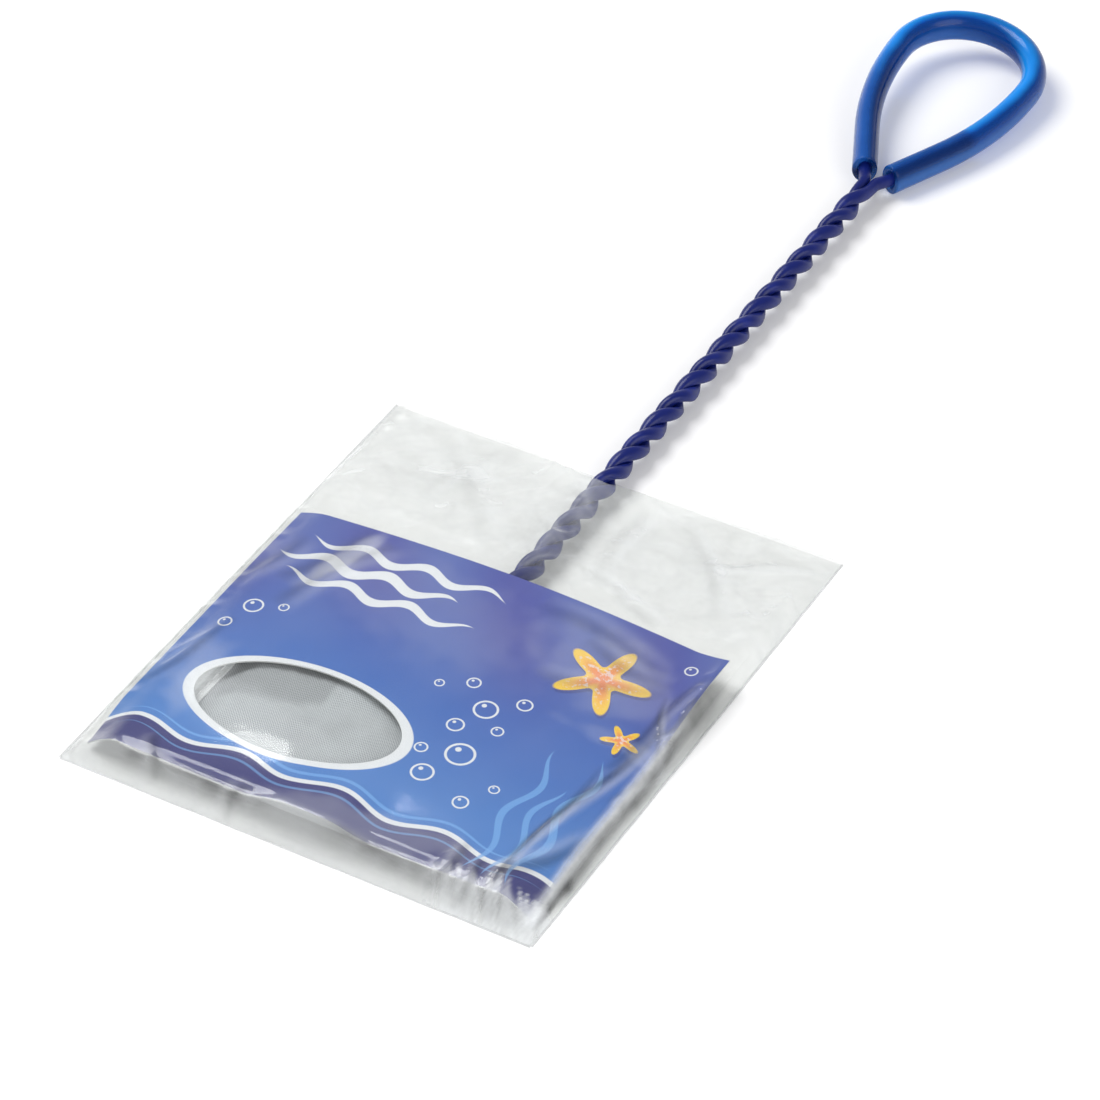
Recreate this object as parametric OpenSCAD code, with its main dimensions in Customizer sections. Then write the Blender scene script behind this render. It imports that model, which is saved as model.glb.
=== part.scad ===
// Aquarium hand net in its flat retail pack.
// One length of vinyl-coated wire makes the hoop, the twisted shaft and the two
// ends that plug into the grip tube. The mesh pouch lies folded inside the hoop,
// under a printed card, in a clear bag that is open towards the handle.
// +Y runs along the handle, +Z is up and the origin lies under the hoop's centre.

/* [Wire] */
// Diameter of the vinyl-coated wire
strand_d = 3.3; // [2:0.1:3.4]
// Share of its thickness by which the soft coat is pressed flat between the twisted strands
press_share = 0.1; // [0:0.02:0.14]
// Air between the two twisted strands
strand_gap = 0.06; // [0.06:0.02:0.3]
// Length of the twisted shaft
twist_l = 204; // [120:1:300]
// Distance along the shaft of one full turn
twist_pitch = 18.4; // [14:0.2:24]
// Length over which the strands part to meet the grip tube
spread_l = 5.2; // [5:0.2:14]
// Bend radius where the wire turns from the hoop into the shaft
neck_r = 4; // [3:0.5:8]

/* [Hoop] */
// Width of the hoop, across the handle
hoop_w = 100; // [70:1:150]
// Depth of the hoop, along the handle
hoop_d = 75; // [55:1:120]
// Corner radius of the hoop's wire
hoop_corner_r = 14; // [10:1:24]

/* [Grip tube] */
// Width of the grip tube, in the loop's plane
tube_w = 6.8; // [6:0.1:9]
// Height of the grip tube, which bending has made oval
tube_h = 8.8; // [7:0.1:10]
// Radial clearance of the wire in the tube's bore
bore_fit = 0.2; // [0.1:0.05:0.4]
// Outer width of the teardrop loop
loop_w = 45; // [38:1:58]
// Outer length of the teardrop loop
loop_l = 75; // [68:1:110]
// Air between the two ends of the tube
tube_end_gap = 0.8; // [0.2:0.1:1.5]
// Bow of the loop's sides, from straight to one full curve
side_bow_share = 0.5; // [0.05:0.05:0.9]
// Growth of the tube's radius from the loop's top to its sides, and again to its wire-filled ends
tube_swell = 0.05; // [0.03:0.01:0.15]
// Angle in degrees by which the loop rises from the surface, left by hand bending
loop_rise = 3; // [0:0.5:6]
// Angle in degrees by which the loop's left side is higher than its right one
loop_roll = 5; // [0:0.5:6]
// Length of wire inside the left end of the tube
wire_in_left = 44; // [20:1:70]
// Length of wire inside the right end of the tube
wire_in_right = 27; // [15:1:70]

/* [Net] */
// Radial clearance of the hem round the wire
hem_fit = 0.1; // [0.05:0.05:0.3]
// Thickness of one ply of the hem band
hem_ply = 0.5; // [0.3:0.05:0.8]
// Reach of the sewn hem from the wire's centre into the hoop
hem_reach = 5; // [4:0.5:8]
// Distance of the hem's ends from the neck bends
hem_end_gap = 1.5; // [0.5:0.5:6]
// Diameter of the sewing thread
thread_d = 0.4; // [0.3:0.05:0.6]
// Length of one stitch
stitch_l = 2.2; // [1.4:0.1:3]
// Distance from stitch to stitch
stitch_pitch = 3.4; // [3.2:0.1:6]
// Width of hem left inside the stitch line
stitch_margin = 1.4; // [0.8:0.1:2]
// Rise of the folded pouch above the hem's tab
pouch_rise = 1.7; // [1:0.1:2.6]
// Height of the pouch's folds
fold_h = 0.5; // [0.2:0.1:0.7]
// Distance from fold to fold
fold_pitch = 15; // [10:1:25]

/* [Card] */
// Thickness of the card
card_t = 0.4; // [0.3:0.05:0.8]
// Reach of the card past the hoop at the front
card_front_lap = 2.5; // [1:0.5:8]
// Reach of the card past the hoop towards the handle
card_back_lap = 16.5; // [8:0.5:30]
// Width of the card's bent side laps
card_side_lap = 8.6; // [4:0.2:12]
// Drop of the bent side laps
card_lap_drop = 2.4; // [1:0.1:2.6]
// Width of the oval window
window_w = 54; // [30:1:70]
// Height of the oval window
window_h = 29; // [16:1:50]
// Distance of the window's centre to the left of the handle line
window_left = 19; // [10:0.5:25]
// Distance of the window's centre in front of the hoop's centre
window_front = 12.3; // [5:0.1:16]

/* [Bag] */
// Thickness of the bag's film
film_t = 0.2; // [0.15:0.05:0.4]
// Room between the card and the bag's side edge
bag_side_room = 4; // [3:0.1:12]
// Room between the card and the bag's closed end
bag_front_room = 6.5; // [5:0.5:20]
// Length of empty bag from the card to the open mouth
bag_mouth_room = 51.5; // [20:0.5:80]
// Width of the welded side edges
weld_w = 0.6; // [0.4:0.1:1.5]
// Height of the welded edges
weld_h = 0.5; // [0.45:0.05:0.9]
// Half width of the ridge that the mouth makes over the shaft
ridge_w = 34; // [20:1:45]
// Air between pieces that only lie on each other
rest_gap = 0.25; // [0.2:0.05:0.5]

/* [Hidden] */

// Counts of facets and steps
wire_sides = 8;
turn_steps = 12;
bend_steps = 6;
leg_steps = 8;
round_fn = 64;
window_points = 72;
outline_steps = 9;
pouch_rings = 9;
lap_steps = 4;
ramp_steps = 5;
mouth_steps = 8;

// Sizes of the wire
strand_r = strand_d / 2;
press_r = strand_r * (1 - press_share);
widening = 1 / (1 - press_share) - 1;
helix_r = (press_r + strand_gap / 2) / cos(180 / turn_steps);
shaft_r = helix_r + press_r;
turns = round(twist_l / twist_pitch);
// Share of the shaft over which the twist starts and ends gently
ease_share = 0.05;

// Sizes of the hem
hem_bore_r = strand_r + hem_fit;
hem_r = hem_bore_r + hem_ply;

// Height of the hoop
hoop_z = film_t + rest_gap + max(hem_r, shaft_r);
hem_top_z = hoop_z + hem_r;

// Half sizes of the hoop's centre line
hoop_x = hoop_w / 2 - strand_r;
hoop_y = hoop_d / 2 - strand_r;
corner_x = hoop_x - hoop_corner_r;
corner_y = hoop_y - hoop_corner_r;
neck_x = helix_r + neck_r;
neck_y = hoop_y + neck_r;
loop_y = neck_y + twist_l + spread_l;

// Teardrop loop: straight ends, two wide side arcs and a half-round top
tube_r = tube_w / 2;
tube_oval = (tube_h - tube_w) / 2;
bore_r = strand_r + bore_fit;
tube_end_x = tube_r + tube_end_gap / 2;
top_r = loop_w / 2 - tube_r;
top_y = loop_l - tube_r - top_r;
least_a = asin(top_r / norm([tube_end_x, top_y])) - atan(tube_end_x / top_y);
most_a = 2 * atan((top_r - tube_end_x) / top_y);
mouth_a = least_a + side_bow_share * (most_a - least_a);
side_r = (top_y - (top_r - tube_end_x) / tan(mouth_a)) / tan(mouth_a / 2);
end_l = (top_r - tube_end_x - side_r * (1 - cos(mouth_a))) / sin(mouth_a);
side_l = side_r * mouth_a * PI / 180;

// Height at which the rolled and raised loop rests on its lowest point
low_a = atan2(sin(loop_rise), sin(loop_roll));
low_point = low_a < mouth_a ? side_point(1, low_a) : loop_point(1, 0);
loop_z = tube_h / 2 + 2 * tube_swell - raised(low_point).z;

// Outline of the card, with its front edge, back edge and bent laps
fold_x = hoop_x + hem_r + rest_gap;
card_x = fold_x + card_side_lap;
card_front_y = -hoop_d / 2 - card_front_lap;
card_back_y = hoop_d / 2 + card_back_lap;
seat_z = hem_top_z + rest_gap;
pouch_top_z = hoop_z + hem_ply + pouch_rise + 1.5 * fold_h;
crown_z = max(loop_z + shaft_r, pouch_top_z) + rest_gap;
crown_x_shares = [0, 0.09, 0.2, 0.35, 0.5, 0.65, 0.8, 0.92, 1];

// Outline of the bag
bag_x = card_x + bag_side_room;
bag_front_y = card_front_y - bag_front_room;
bag_mouth_y = card_back_y + bag_mouth_room;
film_x = bag_x - weld_w;
film_front_y = bag_front_y + weld_w;
film_low_z = film_t + rest_gap / 5;
ridge_flat_x = shaft_r + rest_gap;
ridge_z = shaft_top(bag_mouth_y) + rest_gap;

// Overrun of cuts, and of each bend of the tube into the wider stretch that it joins
overrun = 0.5;

// Height of the shaft's centre line and of its top
function shaft_z(y) = hoop_z + (loop_z - hoop_z) * (y - neck_y) / twist_l;
function shaft_top(y) = shaft_z(y) + shaft_r;

// Vectors and curves
function unit(v) = v / norm(v);
function smooth(t) = t * t * (3 - 2 * t);
function clamp01(t) = min(max(t, 0), 1);
function hermite(p, m, q, n, t) =
    (2 * t ^ 3 - 3 * t ^ 2 + 1) * p + (t ^ 3 - 2 * t ^ 2 + t) * m
    + (3 * t ^ 2 - 2 * t ^ 3) * q + (t ^ 3 - t ^ 2) * n;

// Point of the tube's centre line at distance s from its end, in the loop's own plane
function loop_point(side, s) =
    s <= end_l ? [side * (tube_end_x + s * sin(mouth_a)), s * cos(mouth_a)]
    : s <= end_l + side_l ? side_point(side, mouth_a - (s - end_l) / side_r * 180 / PI)
    : let (a = (s - end_l - side_l) / top_r * 180 / PI) [side * top_r * cos(a), top_y + top_r * sin(a)];
function side_point(side, a) = [side * (top_r - side_r * (1 - cos(a))), top_y - side_r * sin(a)];

// The loop's plane, rolled and raised, and set at the top of the shaft
function raised(p) = [
    p.x * cos(loop_roll),
    p.y * cos(loop_rise) + p.x * sin(loop_roll) * sin(loop_rise),
    p.y * sin(loop_rise) - p.x * sin(loop_roll) * cos(loop_rise),
];
function in_loop(p) = raised(p) + [0, loop_y, loop_z];

// Twist angle as a share of the whole, with a gentle start and end
function eased(u) =
    u < ease_share ? u * u / (2 * ease_share * (1 - ease_share))
    : u > 1 - ease_share ? 1 - (1 - u) * (1 - u) / (2 * ease_share * (1 - ease_share))
    : (u - ease_share / 2) / (1 - ease_share);
function outwards(side, u) =
    let (a = side * 90 + 360 * turns * eased(u)) [sin(a), 0, cos(a)];
function twist_point(side, u) =
    let (y = neck_y + twist_l * u) [0, y, shaft_z(y)] + helix_r * outwards(side, u);

// Stretches of the wire, each listed from the grip tube to the hoop, as pairs of a
// point of its centre line and the way in which the other strand presses on it
function leg(side, depth) = [
    for (i = [0:leg_steps]) [in_loop(loop_point(side, depth * (1 - i / leg_steps))), [0, 0, 0]],
];
function spread(side) =
    let (
        start = in_loop(loop_point(side, 0)),
        way = raised([-side * sin(mouth_a), -cos(mouth_a)]) * spread_l,
        end = twist_point(side, 1)
    )
    [
        for (i = [1:bend_steps - 1])
            let (t = i / bend_steps)
            [hermite(start, way, end, [0, -spread_l, 0], t), t * outwards(side, 1)],
    ];
function twist(side) =
    let (n = turns * turn_steps)
    [for (i = [0:n]) [twist_point(side, 1 - i / n), outwards(side, 1 - i / n)]];
function neck(side) = [
    for (i = [1:bend_steps])
        let (a = 90 * i / bend_steps)
        [
            [side * (neck_x - neck_r * cos(a)), neck_y - neck_r * sin(a), hoop_z],
            (1 - i / bend_steps) * outwards(side, 0),
        ],
];
function corner(quarter) = [
    for (i = [0:bend_steps])
        let (a = 90 * (quarter + i / bend_steps))
        [
            [
                sign(cos(90 * quarter + 45)) * corner_x + hoop_corner_r * cos(a),
                sign(sin(90 * quarter + 45)) * corner_y + hoop_corner_r * sin(a),
                hoop_z,
            ],
            [0, 0, 0],
        ],
];
function backwards(list) = [for (i = [len(list) - 1:-1:0]) list[i]];
wire_path = concat(
    leg(-1, wire_in_left), spread(-1), twist(-1), neck(-1),
    corner(1), corner(2), corner(3), corner(0),
    backwards(concat(leg(1, wire_in_right), spread(1), twist(1), neck(1)))
);

// Offset w of the wire's skin, once it is pressed along v and widened across it
function pressed(w, v) =
    (1 + widening * norm(v)) * w - (widening + press_share) * (w * v) * v;

// Wire swept along a path that never runs straight up
module swept_wire(path, r, sides) {
    last = len(path) - 1;
    points = [
        for (i = [0:last])
            let (
                way = unit(path[min(i + 1, last)][0] - path[max(i - 1, 0)][0]),
                across = unit(cross(way, [0, 0, 1])),
                up = cross(across, way)
            )
            for (k = [0:sides - 1])
                let (a = 360 * (k + 0.5) / sides)
                path[i][0] + r * pressed(cos(a) * across + sin(a) * up, path[i][1]),
    ];
    walls = [
        for (i = [0:last - 1], k = [0:sides - 1])
            let (
                a = i * sides + k,
                b = i * sides + (k + 1) % sides
            )
            each [[a, b, b + sides], [a, b + sides, a + sides]],
    ];
    ends = [
        [for (k = [sides - 1:-1:0]) k],
        [for (k = [0:sides - 1]) last * sides + k],
    ];
    polyhedron(points, concat(walls, ends));
}

// Closed sheet between two grids of heights, given as rows of points
module sheet(low, high) {
    rows = len(low);
    cols = len(low[0]);
    count = rows * cols;
    points = concat([for (row = low) each row], [for (row = high) each row]);
    skins = [
        for (j = [0:rows - 2], i = [0:cols - 2])
            let (a = j * cols + i, b = a + 1, c = a + cols, d = c + 1)
            each [
                [a, b, d], [a, d, c],
                [a + count, d + count, b + count], [a + count, c + count, d + count],
            ],
    ];
    rim = concat(
        [for (i = [0:cols - 1]) i],
        [for (j = [1:rows - 1]) j * cols + cols - 1],
        [for (i = [cols - 2:-1:0]) (rows - 1) * cols + i],
        [for (j = [rows - 2:-1:1]) j * cols]
    );
    edge = [
        for (k = [0:len(rim) - 1])
            let (a = rim[k], b = rim[(k + 1) % len(rim)])
            each [[a, a + count, b + count], [a, b + count, b]],
    ];
    polyhedron(points, concat(skins, edge));
}

// Coated wire in one piece: left plug, twist, hoop, twist, right plug
module frame_wire() {
    color([0.1, 0.13, 0.42])
        swept_wire(wire_path, strand_r, wire_sides);
}

// Oval solid bar along the teardrop, which makes both the tube's outside and its bore
module oval(r) {
    scale([r, r + tube_oval])
        circle(r = 1, $fn = round_fn);
}
module loop_arc(bend_r, a, r, laps) {
    lap_a = overrun / bend_r * 180 / PI;
    rotate([0, 0, -lap_a])
        rotate_extrude(angle = a + laps * lap_a, $fn = 2 * round_fn)
            translate([bend_r, 0])
                oval(r);
}
module loop_side(r, past_end) {
    translate([tube_end_x, 0])
        rotate([-90, 0, -mouth_a])
            translate([0, 0, -past_end])
                linear_extrude(end_l + past_end)
                    oval(r + 2 * tube_swell);
    translate([top_r - side_r, top_y])
        rotate([0, 0, -mouth_a])
            loop_arc(side_r, mouth_a, r + tube_swell, 1);
}
module loop_bar(r, past_end) {
    loop_side(r, past_end);
    mirror([1, 0, 0])
        loop_side(r, past_end);
    translate([0, top_y])
        loop_arc(top_r, 180, r, 2);
}

// Thick soft tube bent into the teardrop grip loop
module grip_tube() {
    color([0.12, 0.36, 0.8])
        translate([0, loop_y, loop_z])
            rotate([loop_rise, 0, 0])
                rotate([0, loop_roll, 0])
                    difference() {
                        loop_bar(tube_r, 0);
                        loop_bar(bore_r, overrun);
                    }
}

// Hem band folded round the wire, with its sewn tab pointing into the hoop
module hem_section() {
    difference() {
        union() {
            circle(r = hem_r, $fn = round_fn);
            translate([-hem_reach, -hem_ply])
                square([hem_reach, 2 * hem_ply]);
        }
        circle(r = hem_bore_r, $fn = round_fn);
    }
}
module hem_run(l) {
    rotate([90, 0, 0])
        linear_extrude(l, center = true)
            hem_section();
}
module net_hem() {
    back_l = corner_x - neck_x - hem_end_gap;
    color([0.92, 0.94, 0.95])
        translate([0, 0, hoop_z]) {
            for (side = [-1, 1]) {
                translate([side * hoop_x, 0])
                    rotate([0, 0, side < 0 ? 180 : 0])
                        hem_run(2 * corner_y);
                translate([side * (corner_x - back_l / 2), hoop_y])
                    rotate([0, 0, 90])
                        hem_run(back_l);
            }
            translate([0, -hoop_y])
                rotate([0, 0, -90])
                    hem_run(2 * corner_x);
            for (quarter = [0:3])
                translate([
                    sign(cos(90 * quarter + 45)) * corner_x,
                    sign(sin(90 * quarter + 45)) * corner_y,
                ])
                    rotate([0, 0, 90 * quarter])
                        rotate_extrude(angle = 90, $fn = round_fn)
                            translate([hoop_corner_r, 0])
                                hem_section();
        }
}

// Running stitches along the hem's tab
stitch_in = hem_reach - stitch_margin;
stitch_z = hoop_z + hem_ply + thread_d / 2;
module stitch() {
    translate([0, 0, stitch_z])
        rotate([90, 0, 0])
            cylinder(h = stitch_l, d = thread_d, center = true, $fn = 16);
}
module stitch_row(l) {
    n = floor((l + stitch_pitch - stitch_l) / stitch_pitch);
    for (i = [0:n - 1])
        translate([0, (i - (n - 1) / 2) * stitch_pitch])
            stitch();
}
module hem_stitches() {
    back_l = corner_x - neck_x - hem_end_gap;
    bend_r = hoop_corner_r - stitch_in;
    bend_n = floor(bend_r * PI / 2 / stitch_pitch);
    color([0.98, 0.98, 0.98]) {
        for (side = [-1, 1]) {
            translate([side * (hoop_x - stitch_in), 0])
                stitch_row(2 * corner_y);
            translate([side * (corner_x - back_l / 2), hoop_y - stitch_in])
                rotate([0, 0, 90])
                    stitch_row(back_l);
        }
        translate([0, -hoop_y + stitch_in])
            rotate([0, 0, 90])
                stitch_row(2 * corner_x);
        for (quarter = [0:3], i = [0:bend_n - 1])
            translate([
                sign(cos(90 * quarter + 45)) * corner_x,
                sign(sin(90 * quarter + 45)) * corner_y,
            ])
                rotate([0, 0, 90 * (quarter + (i + 0.5) / bend_n)])
                    translate([bend_r, 0])
                        stitch();
    }
}

// Height of the card's underside across the handle
function card_low(x) =
    let (a = abs(x))
    a <= fold_x ? seat_z + (crown_z - seat_z) * (1 - (a / fold_x) ^ 2)
    : seat_z - card_lap_drop * ((a - fold_x) / card_side_lap) ^ 1.5;

// Mesh pouch, folded flat inside the hem, with its main folds
pouch_x = hoop_x - hem_reach - rest_gap;
pouch_y = hoop_y - hem_reach - rest_gap;
pouch_corner_r = hoop_corner_r - hem_reach - rest_gap;
function pouch_edge() = [
    for (quarter = [0:3], i = [0:outline_steps - 1])
        let (a = 90 * (quarter + i / (outline_steps - 1)))
        [
            sign(cos(90 * quarter + 45)) * (pouch_x - pouch_corner_r) + pouch_corner_r * cos(a),
            sign(sin(90 * quarter + 45)) * (pouch_y - pouch_corner_r) + pouch_corner_r * sin(a),
        ],
];
function pouch_fold(p) =
    fold_h * sin(360 * (p.y + p.x * p.x / (8 * fold_pitch)) / fold_pitch) * cos(180 * p.x / (pouch_x * 3));
function pouch_high(p, t) =
    hoop_z + hem_ply + smooth(1 - t) * (pouch_rise + pouch_fold(p)) + (1 - t) * fold_h / 2;
function pouch_low(p, t) = hoop_z - hem_ply - smooth(1 - t) * (hoop_z - hem_ply - film_t - 2 * rest_gap);
module net_pouch() {
    edge = pouch_edge();
    n = len(edge);
    grid = [for (j = [pouch_rings:-1:1]) let (t = j / pouch_rings) [for (p = edge) [p.x * t, p.y * t, t]]];
    high = [for (row = grid, p = row) [p.x, p.y, pouch_high(p, p.z)]];
    low = [for (row = grid, p = row) [p.x, p.y, pouch_low(p, p.z)]];
    count = n * pouch_rings;
    points = concat(high, low, [[0, 0, pouch_high([0, 0], 0)], [0, 0, pouch_low([0, 0], 0)]]);
    skins = [
        for (j = [0:pouch_rings - 2], i = [0:n - 1])
            let (a = j * n + i, b = j * n + (i + 1) % n, c = a + n, d = b + n)
            each [
                [a, d, b], [a, c, d],
                [a + count, b + count, d + count], [a + count, d + count, c + count],
            ],
    ];
    inner = (pouch_rings - 1) * n;
    middle = [
        for (i = [0:n - 1])
            let (a = inner + i, b = inner + (i + 1) % n)
            each [[a, 2 * count, b], [a + count, b + count, 2 * count + 1]],
    ];
    rim = [
        for (i = [0:n - 1])
            let (b = (i + 1) % n)
            each [[i, b, b + count], [i, b + count, i + count]],
    ];
    color([0.8, 0.83, 0.84])
        polyhedron(points, concat(skins, middle, rim));
}

// Printed card with its oval window, crowned over the pouch and bent down at the sides
card_xs = concat(
    [for (i = [lap_steps:-1:1]) -fold_x - card_side_lap * i / lap_steps],
    [for (i = [len(crown_x_shares) - 1:-1:1]) -fold_x * crown_x_shares[i]],
    fold_x * crown_x_shares,
    [for (i = [1:lap_steps]) fold_x + card_side_lap * i / lap_steps]
);
module window_outline() {
    translate([-window_left, -window_front])
        polygon([
            for (i = [0:window_points - 1])
                let (a = 360 * i / window_points)
                [window_w / 2 * cos(a), window_h / 2 * sin(a)],
        ]);
}
module insert_card() {
    color([0.27, 0.33, 0.7])
        difference() {
            translate([0, card_back_y])
                rotate([90, 0, 0])
                    linear_extrude(card_back_y - card_front_y)
                        polygon(concat(
                            [for (x = card_xs) [x, card_low(x)]],
                            [for (x = backwards(card_xs)) [x, card_low(x) + card_t]]
                        ));
            linear_extrude(crown_z + card_t + overrun)
                window_outline();
        }
}

// Flat back film of the bag
module bag_back_film() {
    color([0.86, 0.9, 0.88, 0.4])
        translate([-film_x, film_front_y, 0])
            cube([2 * film_x, bag_mouth_y - film_front_y, film_t]);
}

// Height of the front film: over the card, then down to a ridge over the shaft
film_xs = concat(
    [for (i = [3:-1:1]) -card_x - (film_x - card_x) * i / 3],
    card_xs,
    [for (i = [1:3]) card_x + (film_x - card_x) * i / 3]
);
film_ys = concat(
    [for (i = [0:ramp_steps - 1]) film_front_y + (card_front_y - rest_gap - film_front_y) * i / ramp_steps],
    [card_front_y - rest_gap, 0],
    [for (i = [0:mouth_steps]) card_back_y + rest_gap + (bag_mouth_y - card_back_y - rest_gap) * i / mouth_steps]
);
function over_card(x) =
    let (out = clamp01((abs(x) - card_x) / (film_x - card_x)))
    film_low_z + (card_low(min(abs(x), card_x)) + card_t + rest_gap - film_low_z) * (1 - out ^ 2);
function over_shaft(x) =
    let (out = clamp01((abs(x) - ridge_flat_x) / ridge_w))
    film_low_z + (ridge_z - film_low_z) * (1 - out) ^ 2;
function film_low(x, y) =
    let (
        start = smooth(clamp01((y - film_front_y) / (card_front_y - rest_gap - film_front_y))),
        fall = smooth(clamp01((y - card_back_y - rest_gap) / (bag_mouth_y - card_back_y - rest_gap))),
        top = over_card(x) * (1 - fall) + over_shaft(x) * fall
    )
    film_low_z + (top - film_low_z) * start;

// Front film of the bag
module bag_front_film() {
    low = [for (y = film_ys) [for (x = film_xs) [x, y, film_low(x, y)]]];
    high = [for (row = low) [for (p = row) p + [0, 0, film_t]]];
    color([0.86, 0.9, 0.88, 0.4])
        sheet(low, high);
}

// Welded side edges and folded closed end of the bag
module side_weld() {
    translate([film_x, film_front_y, 0])
        cube([weld_w, bag_mouth_y - film_front_y, weld_h]);
}
module bag_right_weld() {
    color([0.8, 0.85, 0.83])
        side_weld();
}
module bag_left_weld() {
    color([0.8, 0.85, 0.83])
        mirror([1, 0, 0])
            side_weld();
}
module bag_bottom_fold() {
    color([0.8, 0.85, 0.83])
        translate([-bag_x, bag_front_y, 0])
            cube([2 * bag_x, weld_w, weld_h]);
}

frame_wire();
grip_tube();
net_hem();
hem_stitches();
net_pouch();
insert_card();
bag_back_film();
bag_front_film();
bag_left_weld();
bag_right_weld();
bag_bottom_fold();
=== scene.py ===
"""Aquarium hand net in its flat retail pack, dressed around the packed model.

One length of vinyl-coated wire makes the hoop and the twisted shaft, and plugs into a
translucent grip tube. The mesh pouch lies folded inside the hoop, under a printed card,
in a crinkled clear bag. Sizes are in metres: +Y runs along the handle and +Z is up.
"""

import math
from types import SimpleNamespace

import bpy
from bpy.props import FloatProperty, FloatVectorProperty, IntProperty, PointerProperty
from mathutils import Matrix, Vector, noise


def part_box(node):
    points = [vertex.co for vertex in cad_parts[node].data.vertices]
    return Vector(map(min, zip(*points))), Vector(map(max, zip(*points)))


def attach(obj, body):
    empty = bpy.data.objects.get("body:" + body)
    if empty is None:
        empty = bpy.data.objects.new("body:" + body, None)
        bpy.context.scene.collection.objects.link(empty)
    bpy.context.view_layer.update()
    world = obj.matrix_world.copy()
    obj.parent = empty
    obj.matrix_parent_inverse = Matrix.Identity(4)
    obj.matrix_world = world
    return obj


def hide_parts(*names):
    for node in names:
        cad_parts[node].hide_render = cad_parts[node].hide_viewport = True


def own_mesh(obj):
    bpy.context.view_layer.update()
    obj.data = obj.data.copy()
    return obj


bl_info = {
    "name": "Aquarium hand net",
    "version": (1, 0, 0),
    "blender": (4, 5, 0),
    "location": "View3D > Sidebar > Hand net",
    "description": "Builds an aquarium hand net in its clear retail bag around its packed model",
    "category": "Object",
}

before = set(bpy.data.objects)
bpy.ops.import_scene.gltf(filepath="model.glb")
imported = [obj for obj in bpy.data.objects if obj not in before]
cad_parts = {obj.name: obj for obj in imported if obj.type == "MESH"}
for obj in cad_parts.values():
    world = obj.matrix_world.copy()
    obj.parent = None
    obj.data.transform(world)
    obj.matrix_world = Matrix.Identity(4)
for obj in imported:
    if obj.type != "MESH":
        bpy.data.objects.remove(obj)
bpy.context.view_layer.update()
MM = 0.001
TURN = 2 * math.pi


def length(name, description, default):
    """A size in metres that a user may change."""
    return FloatProperty(
        name=name, description=description, default=default, min=0, unit="LENGTH", precision=5
    )


def share(name, description, default):
    """A part of another size, or the strength of an effect, from 0 to 1."""
    return FloatProperty(
        name=name, description=description, default=default, min=0, max=1, subtype="FACTOR"
    )


def angle(name, description, default):
    """An angle, given in degrees."""
    turn = math.radians(default)
    return FloatProperty(name=name, description=description, default=turn, subtype="ANGLE")


def number(name, description, default):
    """A number of steps."""
    return IntProperty(name=name, description=description, default=default, min=20)


def colour(name, description, default):
    """A colour in linear light."""
    return FloatVectorProperty(
        name=name, description=description, default=default, size=3, min=0, max=1, subtype="COLOR"
    )


class WireSizes(bpy.types.PropertyGroup):
    """Sizes of the coated wire"""

    strand_d: length("Wire diameter", "Diameter of the wire over its vinyl coat", 0.0033)
    core_d: length("Core diameter", "Diameter of the steel core, seen at the cut ends", 0.0018)
    press: share("Press", "Share by which the soft coat is pressed flat between the strands", 0.1)
    strand_gap: length("Strand gap", "Air between the two twisted strands", 0.00006)
    twist_l: length("Twist length", "Length of the twisted shaft", 0.204)
    twist_pitch: length("Twist pitch", "Length of shaft that one full turn takes", 0.0184)
    spread_l: length("Spread length", "Length over which the strands part below the tube", 0.0052)
    neck_r: length("Neck radius", "Bend radius from the hoop into the shaft", 0.004)
    corner_r: length("Hoop corner radius", "Corner radius of the hoop's centre line", 0.014)


class TubeSizes(bpy.types.PropertyGroup):
    """Sizes of the grip tube"""

    tube_w: length("Tube width", "Width of the oval grip tube in the loop's plane", 0.0068)
    tube_h: length("Tube height", "Height of the oval grip tube", 0.0088)
    bore_fit: length("Bore fit", "Clearance of the wire in the tube's bore", 0.0002)
    loop_w: length("Loop width", "Outer width of the teardrop loop", 0.045)
    loop_l: length("Loop length", "Outer length of the teardrop loop", 0.075)
    end_gap: length("End gap", "Air between the two ends of the tube", 0.0008)
    side_bow: share("Side bow", "Bow of the loop's sides, from straight to one full curve", 0.5)
    rise: angle("Rise", "Angle by which the loop rises from the surface", 3)
    roll: angle("Roll", "Angle by which the loop's left side is the higher one", 5)
    wire_in_left: length("Wire in the left end", "Length of wire in the tube's left end", 0.044)
    wire_in_right: length("Wire in the right end", "Length of wire in the right end", 0.027)


class NetSizes(bpy.types.PropertyGroup):
    """Sizes of the hem and the pouch"""

    hem_ply: length("Hem ply", "Thickness of one ply of the hem band", 0.00045)
    hem_fit: length("Hem fit", "Clearance of the hem round the wire", 0.0001)
    hem_reach: length("Hem reach", "Reach of the hem from the wire's centre into the hoop", 0.005)
    hem_end_gap: length("Hem end gap", "Distance of the hem's ends from the neck bends", 0.0015)
    thread_d: length("Thread diameter", "Diameter of the sewing thread", 0.0004)
    stitch_l: length("Stitch length", "Length of one stitch", 0.0022)
    stitch_pitch: length("Stitch pitch", "Distance from stitch to stitch", 0.0034)
    stitch_margin: length("Stitch margin", "Width of hem inside the stitch line", 0.0014)
    fold_pitch: length("Fold pitch", "Distance from fold to fold of the pouch", 0.015)
    fold_h: length("Fold height", "Height of the pouch's soft folds", 0.00045)
    mesh_pitch: length("Mesh pitch", "Distance from hole to hole of the mesh", 0.0005)


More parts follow.
